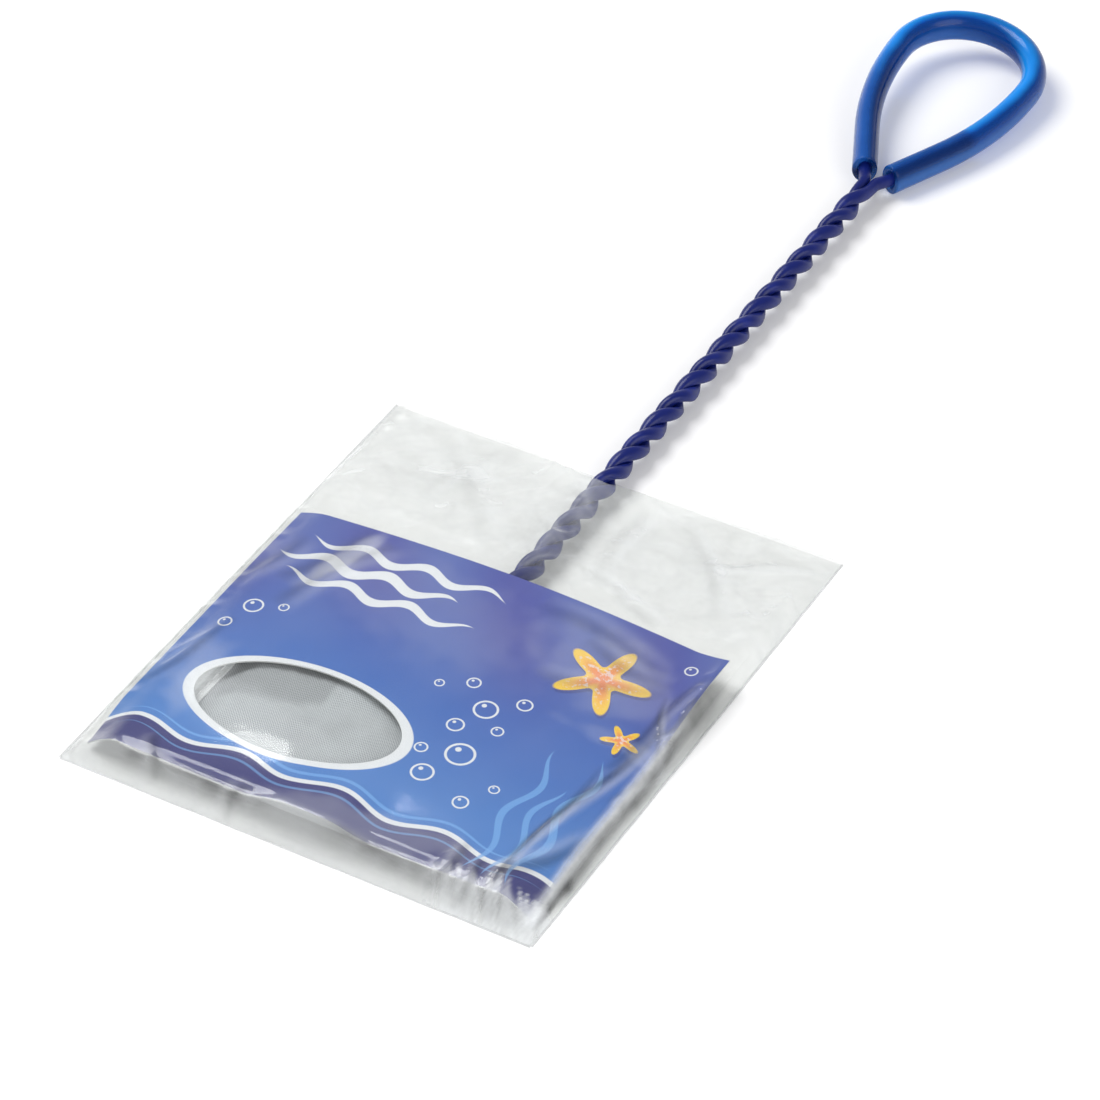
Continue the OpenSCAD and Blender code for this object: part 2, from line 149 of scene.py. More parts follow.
class CardSizes(bpy.types.PropertyGroup):
    """Sizes of the printed card"""

    card_t: length("Card thickness", "Thickness of the card", 0.0004)
    lap_w: length("Lap width", "Width of the card's bent side laps", 0.0086)
    lap_drop: length("Lap drop", "Drop of the bent side laps", 0.0024)
    window_w: length("Window width", "Width of the oval window", 0.054)
    window_h: length("Window height", "Height of the oval window", 0.029)
    window_left: length("Window left", "Window's centre, left of the handle's line", 0.019)
    window_front: length("Window front", "Window's centre, in front of the hoop's", 0.0123)
    rim_w: length("Window border", "Width of the white border printed round the window", 0.0016)


class BagSizes(bpy.types.PropertyGroup):
    """Sizes of the clear bag"""

    film_t: length("Film thickness", "Thickness of the film", 0.00008)
    rest_gap: length("Rest gap", "Air between pieces that only lie on each other", 0.00025)
    ridge_w: length("Ridge width", "Half width of the mouth's ridge over the shaft", 0.034)
    draw_back: length("Draw-back", "How far the ridge draws the mouth's edge back", 0.0095)
    weld_w: length("Weld width", "Width of the welded side edges", 0.0006)
    crumple_h: length("Crumple height", "Height of the film's crumples beyond the card", 0.0012)
    taut_h: length("Ripple height", "Height of the film's ripples on the card", 0.00022)
    columns: number("Film columns", "Steps of the film's grid across the bag", 190)
    rows: number("Film rows", "Steps of the film's grid along the bag", 230)


class Colours(bpy.types.PropertyGroup):
    """Colours of the finishes"""

    vinyl: colour("Wire coat", "Vinyl coat of the wire", (0.005, 0.012, 0.125))
    vinyl_worn: colour("Wire coat, rubbed", "Vinyl coat where it is rubbed", (0.010, 0.022, 0.22))
    steel: colour("Steel", "Cut ends of the steel core", (0.45, 0.46, 0.48))
    tube: colour("Grip tube", "Light that the tube's plastic lets through", (0.08, 0.52, 0.88))
    # Painted light and shade on the grip tube's wall: lighter where it faces the key lamp and on
    # the far side, darker in between and where the wire fills the bore.
    tube_painted_lit: colour("Grip tube, glowing", "Wall where light comes in", (0.012, 0.35, 0.95))
    tube_painted_shade: colour("Grip tube, deep", "Wall over the dark bore", (0.001, 0.052, 0.26))
    tube_painted_lit_wire: colour("Grip tube, full", "Wall where wire fills the bore", (0.016, 0.12, 0.45))
    tube_painted_far_light: colour("Grip tube, far side", "Wall where light goes out", (0.040, 0.16, 0.48))
    hem: colour("Hem", "Woven hem band", (0.80, 0.82, 0.83))
    thread: colour("Thread", "Sewing thread", (0.86, 0.87, 0.88))
    mesh: colour("Mesh", "Fine mesh of the pouch", (0.50, 0.53, 0.555))
    print_high: colour("Print, back", "Printed ground near the handle", (0.066, 0.080, 0.34))
    print_mid: colour("Print, middle", "Printed ground at the middle", (0.045, 0.130, 0.44))
    print_low: colour("Print, front", "Printed ground near the front edge", (0.062, 0.20, 0.53))
    print_base: colour("Print, base", "Band along the front edge", (0.030, 0.031, 0.165))
    print_white: colour("Print, white", "White print", (0.74, 0.76, 0.78))
    print_pale: colour("Print, pale blue", "Pale ripples of the print", (0.16, 0.38, 0.74))
    print_gold: colour("Print, yellow", "Yellow of the starfish", (0.88, 0.58, 0.04))
    print_orange: colour("Print, orange", "Orange of the starfish", (0.80, 0.22, 0.03))
    board: colour("Card board", "Bare board at the edges and underside", (0.74, 0.75, 0.74))
    film: colour("Film", "Light that the film lets through", (0.976, 0.980, 0.974))
    # The haze colour also carries the film's painted glare.
    haze: colour("Film haze", "Milky veil of the film", (0.80, 0.82, 0.84))


GROUPS = {
    "net_wire": WireSizes,
    "net_tube": TubeSizes,
    "net_net": NetSizes,
    "net_card": CardSizes,
    "net_bag": BagSizes,
    "net_colours": Colours,
}


def clamp(t):
    """The value kept from 0 to 1."""
    return min(max(t, 0.0), 1.0)


def smooth(t):
    """Eased share of t from 0 to 1."""
    t = clamp(t)
    return t * t * (3 - 2 * t)


def between(a, b, t):
    """The value or point at share t of the way from a to b."""
    return a + (b - a) * t


def band(value, middle, half):
    """1 at the middle, fading softly to 0 at twice the half width."""
    return 1 - smooth((abs(value - middle) / half - 0.3) / 1.7)


def lumps(a, b, c):
    """Smooth noise, about -1 to 1."""
    return noise.noise(Vector((a, b, c)))


def ridged(x, y, size, seed):
    """Sharp-crested noise from 0 to 1, whose crests lie about that many millimetres apart."""
    warp = 0.35 * lumps(x / size / 2, y / size / 2, seed + 9)
    return max(0.0, 1 - 2.2 * abs(lumps(x / size + warp, y / size - warp, seed)))


def plan():
    """Every size that the pieces share, from the packed frame and the sizes above."""
    scene = bpy.context.scene
    wire, tube, net = scene.net_wire, scene.net_tube, scene.net_net
    card, bag = scene.net_card, scene.net_bag
    wire_box, hem_box, tube_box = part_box("frame_wire"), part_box("net_hem"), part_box("grip_tube")
    card_box, film_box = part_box("insert_card"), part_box("bag_front_film")
    weld_box, fold_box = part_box("bag_right_weld"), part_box("bag_bottom_fold")
    p = SimpleNamespace(wire=wire, tube=tube, net=net, card=card, bag=bag)
    p.strand_r = wire.strand_d / 2
    p.press_r = p.strand_r * (1 - wire.press)
    p.helix_r = p.press_r + wire.strand_gap / 2
    p.shaft_r = p.helix_r + p.press_r
    p.turns = round(wire.twist_l / wire.twist_pitch)
    p.hoop_x = wire_box[1].x - p.strand_r
    p.hoop_y = -wire_box[0].y - p.strand_r
    p.hoop_z = (hem_box[0].z + hem_box[1].z) / 2
    p.corner_x = p.hoop_x - wire.corner_r
    p.corner_y = p.hoop_y - wire.corner_r
    p.neck_x = p.helix_r + wire.neck_r
    p.neck_y = p.hoop_y + wire.neck_r
    p.loop_y = p.neck_y + wire.twist_l + wire.spread_l
    p.tube_r = tube.tube_w / 2
    p.end_x = p.tube_r + tube.end_gap / 2
    tilt = math.sin(tube.roll) * math.cos(tube.rise)
    p.loop_z = tube_box[0].z + tube.tube_h / 2 + p.end_x * tilt
    p.top_r = tube.loop_w / 2 - p.tube_r
    p.top_y = tube.loop_l - p.tube_r - p.top_r
    least = math.asin(p.top_r / math.hypot(p.end_x, p.top_y)) - math.atan(p.end_x / p.top_y)
    most = 2 * math.atan((p.top_r - p.end_x) / p.top_y)
    p.mouth_a = between(least, most, tube.side_bow)
    side_y = p.top_y - (p.top_r - p.end_x) / math.tan(p.mouth_a)
    p.side_r = side_y / math.tan(p.mouth_a / 2)
    bowed_x = p.top_r - p.end_x - p.side_r * (1 - math.cos(p.mouth_a))
    p.end_l = bowed_x / math.sin(p.mouth_a)
    p.side_l = p.side_r * p.mouth_a
    p.half_l = p.end_l + p.side_l + p.top_r * math.pi / 2
    p.card_x, p.card_front_y, p.card_back_y = card_box[1].x, card_box[0].y, card_box[1].y
    p.fold_x = p.card_x - card.lap_w
    p.seat_z = hem_box[1].z + bag.rest_gap
    p.crown_z = card_box[1].z - card.card_t
    p.film_x, p.film_front_y, p.mouth_y = film_box[1].x, film_box[0].y, film_box[1].y
    p.film_low_z = film_box[0].z
    p.ridge_flat_x = p.shaft_r + bag.rest_gap
    mouth_share = (p.mouth_y - p.neck_y) / wire.twist_l
    p.ridge_z = between(p.hoop_z, p.loop_z, mouth_share) + p.shaft_r + bag.rest_gap
    p.bag_x, p.bag_front_y, p.weld_h = weld_box[1].x, fold_box[0].y, weld_box[1].z
    return p


def start():
    """Nothing is selected before a piece is begun."""
    if bpy.context.object and bpy.context.object.mode != "OBJECT":
        bpy.ops.object.mode_set(mode="OBJECT")
    bpy.ops.object.select_all(action="DESELECT")


def pick(piece):
    """Only this piece is selected and active."""
    bpy.ops.object.select_all(action="DESELECT")
    piece.select_set(True)
    bpy.context.view_layer.objects.active = piece


def modify(piece, kind, **settings):
    """Adds a modifier to the piece and applies it."""
    pick(piece)
    bpy.ops.object.modifier_add(type=kind)
    modifier = piece.modifiers[-1]
    for name, value in settings.items():
        setattr(modifier, name, value)
    bpy.ops.object.modifier_apply(modifier=modifier.name)


def shade(piece, sharp=40):
    """Smooth shading, with edges sharper than that many degrees kept."""
    pick(piece)
    bpy.ops.object.shade_smooth_by_angle(angle=math.radians(sharp))


def grid(name, columns, rows, place):
    """A grid with its points where place(u, v) says, u and v from 0 to 1, and a UV map of them."""
    start()
    bpy.ops.mesh.primitive_grid_add(
        x_subdivisions=columns, y_subdivisions=rows, size=2, calc_uvs=True
    )
    piece = bpy.context.object
    piece.name = piece.data.name = name
    for vertex in piece.data.vertices:
        vertex.co = place((vertex.co.x + 1) / 2, (vertex.co.y + 1) / 2)
    return piece


def bar(name, lines, radius, resolution, caps=True, radii=None):
    """Round bars along lists of points, as one mesh."""
    start()
    curve = bpy.data.curves.new(name, "CURVE")
    curve.dimensions = "3D"
    curve.bevel_depth = radius
    curve.bevel_resolution = resolution
    curve.use_fill_caps = caps
    for line in lines:
        spline = curve.splines.new("POLY")
        spline.points.add(len(line) - 1)
        for i, (point, place) in enumerate(zip(spline.points, line)):
            point.co = (*place, 1)
            point.radius = radii[i] if radii else 1
    piece = bpy.data.objects.new(name, curve)
    bpy.context.scene.collection.objects.link(piece)
    pick(piece)
    bpy.ops.object.convert(target="MESH")
    return bpy.context.object


def reshape(piece, pairs, change):
    """Moves the points of a bar's rings: each offset from the line goes through change."""
    vertices = piece.data.vertices
    sides = len(vertices) // len(pairs)
    for i, (point, way) in enumerate(pairs):
        for vertex in vertices[i * sides : (i + 1) * sides]:
            vertex.co = point + change(vertex.co - point, way)


def mark(piece, name, values):
    """Stores one value for each point of the piece, for its material to read."""
    stored = piece.data.attributes.new(name, "FLOAT", "POINT")
    for item, value in zip(stored.data, values):
        item.value = value


def keep(piece, body, node, slot, *materials):
    """The finished piece gets its materials, rides its body and stands for its CAD node."""
    piece.data.materials.clear()
    for material in materials:
        piece.data.materials.append(material)
    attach(piece, body)
    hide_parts(node)


def worked(operation):
    """A method that makes a Math node on the value and the others."""

    def work(self, *others):
        return self.look.math(operation, self, *others)

    return work


class Signal:
    """A shader socket that Python's operators work on."""

    def __init__(self, look, socket):
        self.look = look
        self.socket = socket

    __add__ = __radd__ = worked("ADD")
    __sub__ = worked("SUBTRACT")
    __mul__ = __rmul__ = worked("MULTIPLY")
    __truediv__ = worked("DIVIDE")
    __pow__ = worked("POWER")
    __abs__ = worked("ABSOLUTE")
    sin = worked("SINE")
    most = worked("MAXIMUM")

    def __rsub__(self, other):
        return self.look.math("SUBTRACT", other, self)

    def __neg__(self):
        return self * -1

    def wave(self):
        """Sine of the value in radians, brought to 0 to 1."""
        return self.sin() * 0.5 + 0.5

    def rise(self, low, high):
        """Eased from 0 at low to 1 at high."""
        values = {"Value": self, "From Min": low, "From Max": high}
        return self.look.node("ShaderNodeMapRange", values, interpolation_type="SMOOTHSTEP")


def rgba(value):
    """A colour of three numbers with its fourth, and anything else as it is."""
    if isinstance(value, (Signal, float, int)) or len(value) != 3:
        return value
    return (*value, 1.0)


def dim(tint, part):
    """A colour with only that part of its light."""
    return [part * light for light in tint]


class Look:
    """A material or world and the nodes that make it."""

    def __init__(self, name, owner=None):
        self.owner = owner or bpy.data.materials.new(name)
        self.owner.use_nodes = True
        self.tree = self.owner.node_tree
        self.tree.nodes.clear()

    def node(self, kind, values=None, output=0, **settings):
        """A node of that type: first its settings, then the values or links of its sockets."""
        made = self.tree.nodes.new(kind)
        for name, value in settings.items():
            setattr(made, name, value)
        for key, value in (values or {}).items():
            if isinstance(value, Signal):
                self.tree.links.new(value.socket, made.inputs[key])
            else:
                made.inputs[key].default_value = value
        return Signal(self, made.outputs[output]) if len(made.outputs) else made

    def math(self, operation, *values):
        """A Math node on one value or more."""
        return self.node("ShaderNodeMath", dict(enumerate(values)), operation=operation)

    def place(self, kind="Object"):
        """Where a surface point lies, in metres or along the UV map."""
        return self.node("ShaderNodeTexCoord", output=kind)

    def axes(self, kind="Object"):
        """The three coordinates of that place."""
        place = self.place(kind)
        return [self.node("ShaderNodeSeparateXYZ", {0: place}, output=i) for i in range(3)]

    def marks(self, *names):
        """Values that are stored on the piece's points."""
        return [self.node("ShaderNodeAttribute", output="Fac", attribute_name=n) for n in names]

    def rays(self, *kinds):
        """1 where the light path is of that kind, and 0 elsewhere."""
        return [self.node("ShaderNodeLightPath", output=f"Is {kind} Ray") for kind in kinds]

    def cloud(self, size, detail=2.0, roughness=0.5):
        """Soft noise whose lumps are about that size in metres."""
        values = {"Scale": 1 / size, "Detail": detail, "Roughness": roughness}
        return self.node("ShaderNodeTexNoise", {"Vector": self.place(), **values})

    def blend(self, factor, a, b):
        """Colour a turning into colour b."""
        values = {0: factor, 6: rgba(a), 7: rgba(b)}
        return self.node("ShaderNodeMix", values, output=2, data_type="RGBA")

    def bump(self, height, distance):
        """A normal that follows a height from 0 to 1, that many metres high."""
        return self.node("ShaderNodeBump", {"Height": height, "Distance": distance})

    def plastic(self, **values):
        """A Principled shader with these sockets, whose underscores stand for spaces."""
        values = {name.replace("_", " "): rgba(value) for name, value in values.items()}
        return self.node("ShaderNodeBsdfPrincipled", values)

    def mixed(self, factor, a, b):
        """Shader a turning into shader b."""
        return self.node("ShaderNodeMixShader", {0: factor, 1: a, 2: b})

    def clear(self, tint):
        """A shader that lets light straight through."""
        return self.node("ShaderNodeBsdfTransparent", {"Color": rgba(tint)})

    def show(self, surface, **volume):
        """The material's output, and the material."""
        self.node("ShaderNodeOutputMaterial", {"Surface": surface, **volume})
        return self.owner

    def solid(self, **values):
        """The material's output with one Principled shader, and the material."""
        return self.show(self.plastic(**values))


def vinyl_look(c):
    """Glossy navy vinyl coat, rubbed a little paler in places."""
    look = Look("navy_vinyl")
    rub = look.cloud(0.006, 3).rise(0.5, 0.75)
    grain = look.cloud(0.0005, 3)
    return look.solid(
        Base_Color=look.blend(rub * 0.6, c.vinyl, c.vinyl_worn),
        Roughness=0.28 + 0.16 * rub + 0.06 * grain,
        Normal=look.bump(grain, 0.00001),
        Specular_IOR_Level=0.25,
        Coat_Weight=0.05,
        Coat_Roughness=0.15,
    )


def steel_look(c):
    """Sheared steel at the cut ends of the wire."""
    look = Look("cut_steel")
    shear = look.cloud(0.0004, 4)
    return look.solid(
        Base_Color=look.blend(shear, c.steel, dim(c.steel, 0.6)),
        Metallic=1.0,
        Roughness=0.3 + 0.3 * shear,
        Normal=look.bump(shear, 0.00002),
    )


# Painted shade on the wall where the wire fills the bore.
TUBE_PAINTED_WIRE_SHADE = (0.0, 0.008, 0.06)
TUBE_SHADOW = (0.66, 0.68, 0.71)
DYE_DENSITY = 900.0


def tube_look(c):
    """Thick milky plastic: it scatters some light back and colours the rest on its way through,
    under painted light and shade on its wall.
    """
    look = Look("blue_tubing")
    smear = look.cloud(0.012, 3)
    relief = look.bump(smear, 0.00002)
    # Painted light and shade: the wall is lighter where it faces the key lamp and on the far side,
    # darker in between, and darker still where the wire fills the bore.
    glow, full = look.marks("glow", "full")
    painted_lit_side = look.blend(full, c.tube_painted_lit, c.tube_painted_lit_wire)
    deep = look.blend(full * 0.6, c.tube_painted_shade, TUBE_PAINTED_WIRE_SHADE)
    tint = look.blend((glow + 0.25 * smear).rise(0.45, 1.05), deep, painted_lit_side)
    tint = look.blend((-glow + 0.25 * smear).rise(0.1, 1.05), tint, c.tube_painted_far_light)
    glass = look.plastic(
        Base_Color=(0.75, 0.92, 1.0),
        Roughness=0.05 + 0.06 * smear,
        IOR=1.3,
        Transmission_Weight=1.0,
        Normal=relief,
    )
    milk = look.plastic(
        Base_Color=tint, Roughness=0.16 + 0.1 * smear, Normal=relief, Specular_IOR_Level=0.2
    )
    body = look.mixed(0.68 + 0.14 * smear, glass, milk)
    dye = look.node("ShaderNodeVolumeAbsorption", {"Color": rgba(c.tube), "Density": DYE_DENSITY})
    return look.show(look.mixed(*look.rays("Shadow"), body, look.clear(TUBE_SHADOW)), Volume=dye)


WEAVE_PITCH = 0.0007
PLY_PITCH = 0.0005


def woven(u, v, pitch):
    """Height of a plain weave, from distances along its two threads."""
    turn = TURN / pitch
    check = ((u * (turn / 2)).sin() * (v * (turn / 2)).sin()).rise(-0.3, 0.3)
    return (u * turn).wave() * check + (v * turn).wave() * (1 - check)


def hem_look(c, long, wide):
    """Woven hem band, a little soiled in patches, with painted shade in the weave's hollows."""
    look = Look("hem_weave")
    u, v, _ = look.axes("UV")
    weave = woven(u * long, v * wide, WEAVE_PITCH)
    soil = look.cloud(0.009, 3)
    return look.solid(
        # Darker in the weave's hollows: painted shade. Soil adds darker random patches.
        Base_Color=look.blend(0.25 * (1 - weave) + 0.2 * soil, c.hem, dim(c.hem, 0.7)),
        Roughness=0.75 + 0.1 * weave,
        Normal=look.bump(weave, 0.00009),
        Sheen_Weight=0.25,
        Sheen_Roughness=0.5,
    )


def thread_look(c):
    """Twisted sewing thread."""
    look = Look("sewing_thread")
    x, y, _ = look.axes()
    ply = ((x + y) * (TURN / PLY_PITCH)).wave()
    fuzz = look.cloud(0.0006, 3)
    return look.solid(
        Base_Color=look.blend(0.3 * fuzz, c.thread, dim(c.thread, 0.7)),
        Roughness=0.6 + 0.2 * fuzz,
        Normal=look.bump(ply, 0.00004),
        Sheen_Weight=0.2,
    )


def mesh_look(c, wide, long, pitch):
    """Fine net of thin threads with open diamond holes, with a painted shadow of the window's rim
    and darker soft patches.
    """
    look = Look("fine_mesh")
    u, v, _ = look.axes("UV")
    x, y, _ = look.axes()
    across, down = u * wide, v * long
    slant = pitch * math.sqrt(2)
    ridges = [abs((way / slant * math.pi).sin()) for way in (across + down, across - down)]
    thread = 1 - 0.45 * ridges[0].rise(0.45, 0.75) * ridges[1].rise(0.45, 0.75)
    # Painted shadow of the card's window rim across the back left of the window; elsewhere darker
    # in soft random patches.
    painted_rim_shadow = (y - 0.35 * x + 0.008 * look.cloud(0.012, 1)).rise(0.002, 0.0065)
    painted_rim_shadow *= 1 - x.rise(-0.0175, -0.0155)
    dark = 0.75 * painted_rim_shadow + 0.35 * look.cloud(0.011, 3).rise(0.35, 0.7) * (1 - painted_rim_shadow)
    cloth = look.plastic(
        Base_Color=look.blend(dark, c.mesh, dim(c.mesh, 0.62)),
        Roughness=0.7,
        Normal=look.bump(1 - ridges[0] * ridges[1], 0.00006),
        Sheen_Weight=0.3,
        Sheen_Roughness=0.4,
    )
    return look.show(look.mixed(thread, look.clear((1.0, 1.0, 1.0)), cloth))


# The print, in millimetres on the card.
CREST_Y = -31.0
WEED = [(41.0, 6.0, 1.8), (46.5, -4.0, 1.6), (51.5, 9.0, 2.0)]  # x, top y, width
RIPPLES = [  # y, first x, last x, width
    (45.0, -50.0, 4.0, 2.8), (38.0, -55.0, -6.0, 3.4), (31.0, -50.0, 2.0, 2.8),
]
BUBBLES = [  # x, y, radius
    (17.0, -16.0, 2.6), (12.5, -9.0, 1.5), (21.5, -6.5, 3.4), (15.5, 1.5, 2.0), (25.0, 4.5, 1.4),
    (19.0, 9.5, 2.8), (12.0, 16.0, 1.6), (5.0, 12.0, 1.1), (26.0, 15.5, 1.8), (-52.0, 8.0, 1.6),
    (-49.0, 16.0, 2.3), (-42.0, 18.5, 1.2), (53.0, 47.0, 1.5), (29.5, -20.0, 1.8),
    (34.0, -12.5, 1.2),
]
STARFISH = [(37.0, 33.0, 12.0, 0.9), (50.5, 17.5, 5.0, 2.6)]  # x, y, radius, turn


class Print:
    """Flat shapes in millimetres on the card, each a mask from 0 to 1."""

    def __init__(self, look):
        self.look = look
        self.x, self.y = (axis / MM for axis in look.axes()[:2])

    def far(self, cx, cy):
        """Distance from a point."""
        return ((self.x - cx) ** 2 + (self.y - cy) ** 2) ** 0.5

    def bubble(self, cx, cy, radius):
        """Air bubble: a thin ring with a small highlight."""
        half = (0.22 + radius * 0.12) / 2
        ring = 1 - abs(self.far(cx, cy) - radius).rise(half - 0.1, half + 0.1)
        spot = radius * 0.22
        shine = self.far(cx - radius * 0.35, cy + radius * 0.35).rise(spot - 0.12, spot + 0.12)
        return ring.most(1 - shine)

    def stroke(self, off, way, thick, first, last):
        """Line where off is 0, from first to last along the way, thinner towards its ends."""
        middle, half = (first + last) / 2, (last - first) / 2
        taper = (1 - (abs(way - middle) / half) ** 3) * (thick / 2)
        return (taper - abs(off)).rise(-0.15, 0.15)

    def starfish(self, cx, cy, radius, turn):
        """Five blunt arms: the mask and how far out a point lies."""
        around = self.look.math("ARCTAN2", self.y - cy, self.x - cx)
        arms = (around * 5 + turn).wave() ** 1.6
        out = self.far(cx, cy) / (radius * (0.36 + 0.64 * arms))
        return 1 - out.rise(0.96, 1.04), out


def print_look(c, p):
    """Glossy print of the card: deep water with weed, ripples, bubbles and starfish."""
    look = Look("card_print")
    art = Print(look)
    x, y = art.x, art.y
    front, back = p.card_front_y / MM, p.card_back_y / MM
    tone = (y - front) / (back - front) + 0.03 * (x * 0.07).sin()
    tint = look.blend(tone.rise(0.12, 0.55), c.print_low, c.print_mid)
    tint = look.blend(tone.rise(0.45, 0.85), tint, c.print_high)
    beams = ((x + y * 0.5) * 0.16).wave() * tone.rise(0.35, 0.9)
    tint = look.blend(0.14 * beams, tint, c.print_pale)

    above = y - (CREST_Y + 1.5 * (x * (TURN / 27) + 0.6).sin())
    tint = look.blend(art.stroke(above - 2.6, x, 0.9, -57, 57) * 0.7, tint, c.print_pale)
    tint = look.blend(1 - above.rise(-0.15, 0.15), tint, c.print_base)
    tint = look.blend(1 - abs(above).rise(0.5, 0.8), tint, c.print_white)
    tint = look.blend(art.stroke(above + 2.8, x, 0.7, -57, 57) * 0.5, tint, c.print_pale)

    for foot, top, thick in WEED:
        off = x - (foot + 1.7 * (y * 0.28 + foot).sin())
        blade = art.stroke(off, y, thick, CREST_Y - 6, top)
        tint = look.blend(blade * 0.75, tint, c.print_pale)
    for cy, first, last, thick in RIPPLES:
        off = y - (cy + 1.6 * ((x - cy) * (TURN / 17)).sin())
        tint = look.blend(art.stroke(off, x, thick, first, last), tint, c.print_white)
    for bubble in BUBBLES:
        tint = look.blend(art.bubble(*bubble), tint, c.print_white)
    for cx, cy, radius, turn in STARFISH:
        star, out = art.starfish(cx, cy, radius, turn)
        skin = look.blend(out.rise(0.15, 0.95), c.print_orange, c.print_gold)
        spots = look.cloud(0.0011, 1).rise(0.56, 0.66) * (1 - out.rise(0.7, 0.9))
        skin = look.blend(spots * 0.6, skin, c.print_white)
        shadow, _ = art.starfish(cx + 0.7, cy - 0.9, radius, turn)
        tint = look.blend(shadow * 0.5, tint, c.print_base)
        tint = look.blend(star, tint, skin)

    card = p.card
    half_w, half_h = card.window_w / 2 / MM, card.window_h / 2 / MM
    window = ((x + card.window_left / MM) / half_w) ** 2
    window = (window + ((y + card.window_front / MM) / half_h) ** 2) ** 0.5
    rim = 1 + card.rim_w / MM / half_h
    tint = look.blend(1 - window.rise(rim - 0.008, rim + 0.008), tint, c.print_white)

    fibre = look.cloud(0.0012, 4)
    return look.solid(
        Base_Color=look.blend(0.08 * look.cloud(0.0003, 2), tint, c.print_base),
        Roughness=0.36 + 0.12 * fibre,
        Normal=look.bump(fibre, 0.00001),
        Specular_IOR_Level=0.18,
    )


def board_look(c):
    """Bare white-grey board with short fibres."""
    look = Look("card_board")
    fibre = look.cloud(0.0006, 5, 0.7)
    fleck = look.cloud(0.004, 3).rise(0.55, 0.8)
    return look.solid(
        Base_Color=look.blend(0.3 * fibre + 0.2 * fleck, c.board, dim(c.board, 0.7)),
        Roughness=0.85 - 0.1 * fibre,
        Normal=look.bump(fibre, 0.00004),
        Specular_IOR_Level=0.3,
    )


def film_look(name, c, milk):
    """Thin clear film: it lets light through, milky in places, under a mirror-like skin. Painted
    glare and painted shade lie over it where its points are marked.
    """
    look = Look(name)
    slack, painted_glare_haze, dark = look.marks("slack", "painted_glare_haze", "dark")
    cloudy = look.cloud(0.02, 3).rise(0.3, 0.75)
    lines = look.cloud(0.0018, 4, 0.7)
    relief = look.bump(lines * (0.06 + 0.94 * slack), 0.000004)
    haze = look.plastic(Base_Color=c.haze, Roughness=0.5, Specular_IOR_Level=0.0)
    skin = look.plastic(
        Base_Color=(0.95, 0.96, 0.96), Metallic=1.0, Roughness=0.12 + 0.2 * slack, Normal=relief
    )
    # Painted glare and haze make the film milkier, and painted shade dims what it lets through.
    thick = milk * (0.5 + 0.5 * cloudy) + 0.02 * slack + painted_glare_haze * (0.6 + 0.4 * lines)
    clear = look.mixed(0.5 * dark, look.clear(c.film), look.clear(dim(c.film, 0.24)))
    weight = {"Blend": 0.5, "Normal": relief}
    facing = look.node("ShaderNodeLayerWeight", weight, output="Facing")
    seen = look.mixed(0.018 + 0.9 * facing**4, look.mixed(thick, clear, haze), skin)
    return look.show(look.mixed(*look.rays("Shadow"), seen, look.clear((0.985, 0.985, 0.985))))


def raised(p, x, y, z=0.0):
    """A way in the grip loop's own plane, or z above it, rolled and raised."""
    across = Vector((math.cos(p.tube.roll), 0, -math.sin(p.tube.roll)))
    off = Vector((math.sin(p.tube.roll), 0, math.cos(p.tube.roll)))
    c, s = math.cos(p.tube.rise), math.sin(p.tube.rise)
    way = x * across + Vector((0, y, 0)) + z * off
    return Vector((way.x, way.y * c - way.z * s, way.y * s + way.z * c))


def loop_point(p, side, s):
    """Point of the tube's centre line at distance s from its end, on one side of the loop."""
    if s <= p.end_l:
        x, y = p.end_x + s * math.sin(p.mouth_a), s * math.cos(p.mouth_a)
    elif s <= p.end_l + p.side_l:
        a = p.mouth_a - (s - p.end_l) / p.side_r
        x, y = p.top_r - p.side_r * (1 - math.cos(a)), p.top_y - p.side_r * math.sin(a)
    else:
        a = (s - p.end_l - p.side_l) / p.top_r
        x, y = p.top_r * math.cos(a), p.top_y + p.top_r * math.sin(a)
    return raised(p, side * x, y) + Vector((0, p.loop_y, p.loop_z))


def eased(u, ease=0.05):
    """Share of the twist at share u of the shaft, with a gentle start and end."""
    if u < ease:
        return u * u / (2 * ease * (1 - ease))
    if u > 1 - ease:
        return 1 - (1 - u) ** 2 / (2 * ease * (1 - ease))
    return (u - ease / 2) / (1 - ease)


def outwards(p, side, u):
    """The way out of the shaft's axis to one strand at share u of the shaft."""
    a = side * math.pi / 2 + TURN * p.turns * eased(u)
    return Vector((math.sin(a), 0, math.cos(a)))


def twist_point(p, side, u):
    """Point of one strand at share u of the shaft."""
    axis = Vector((0, p.neck_y + p.wire.twist_l * u, between(p.hoop_z, p.loop_z, u)))
    return axis + p.helix_r * outwards(p, side, u)


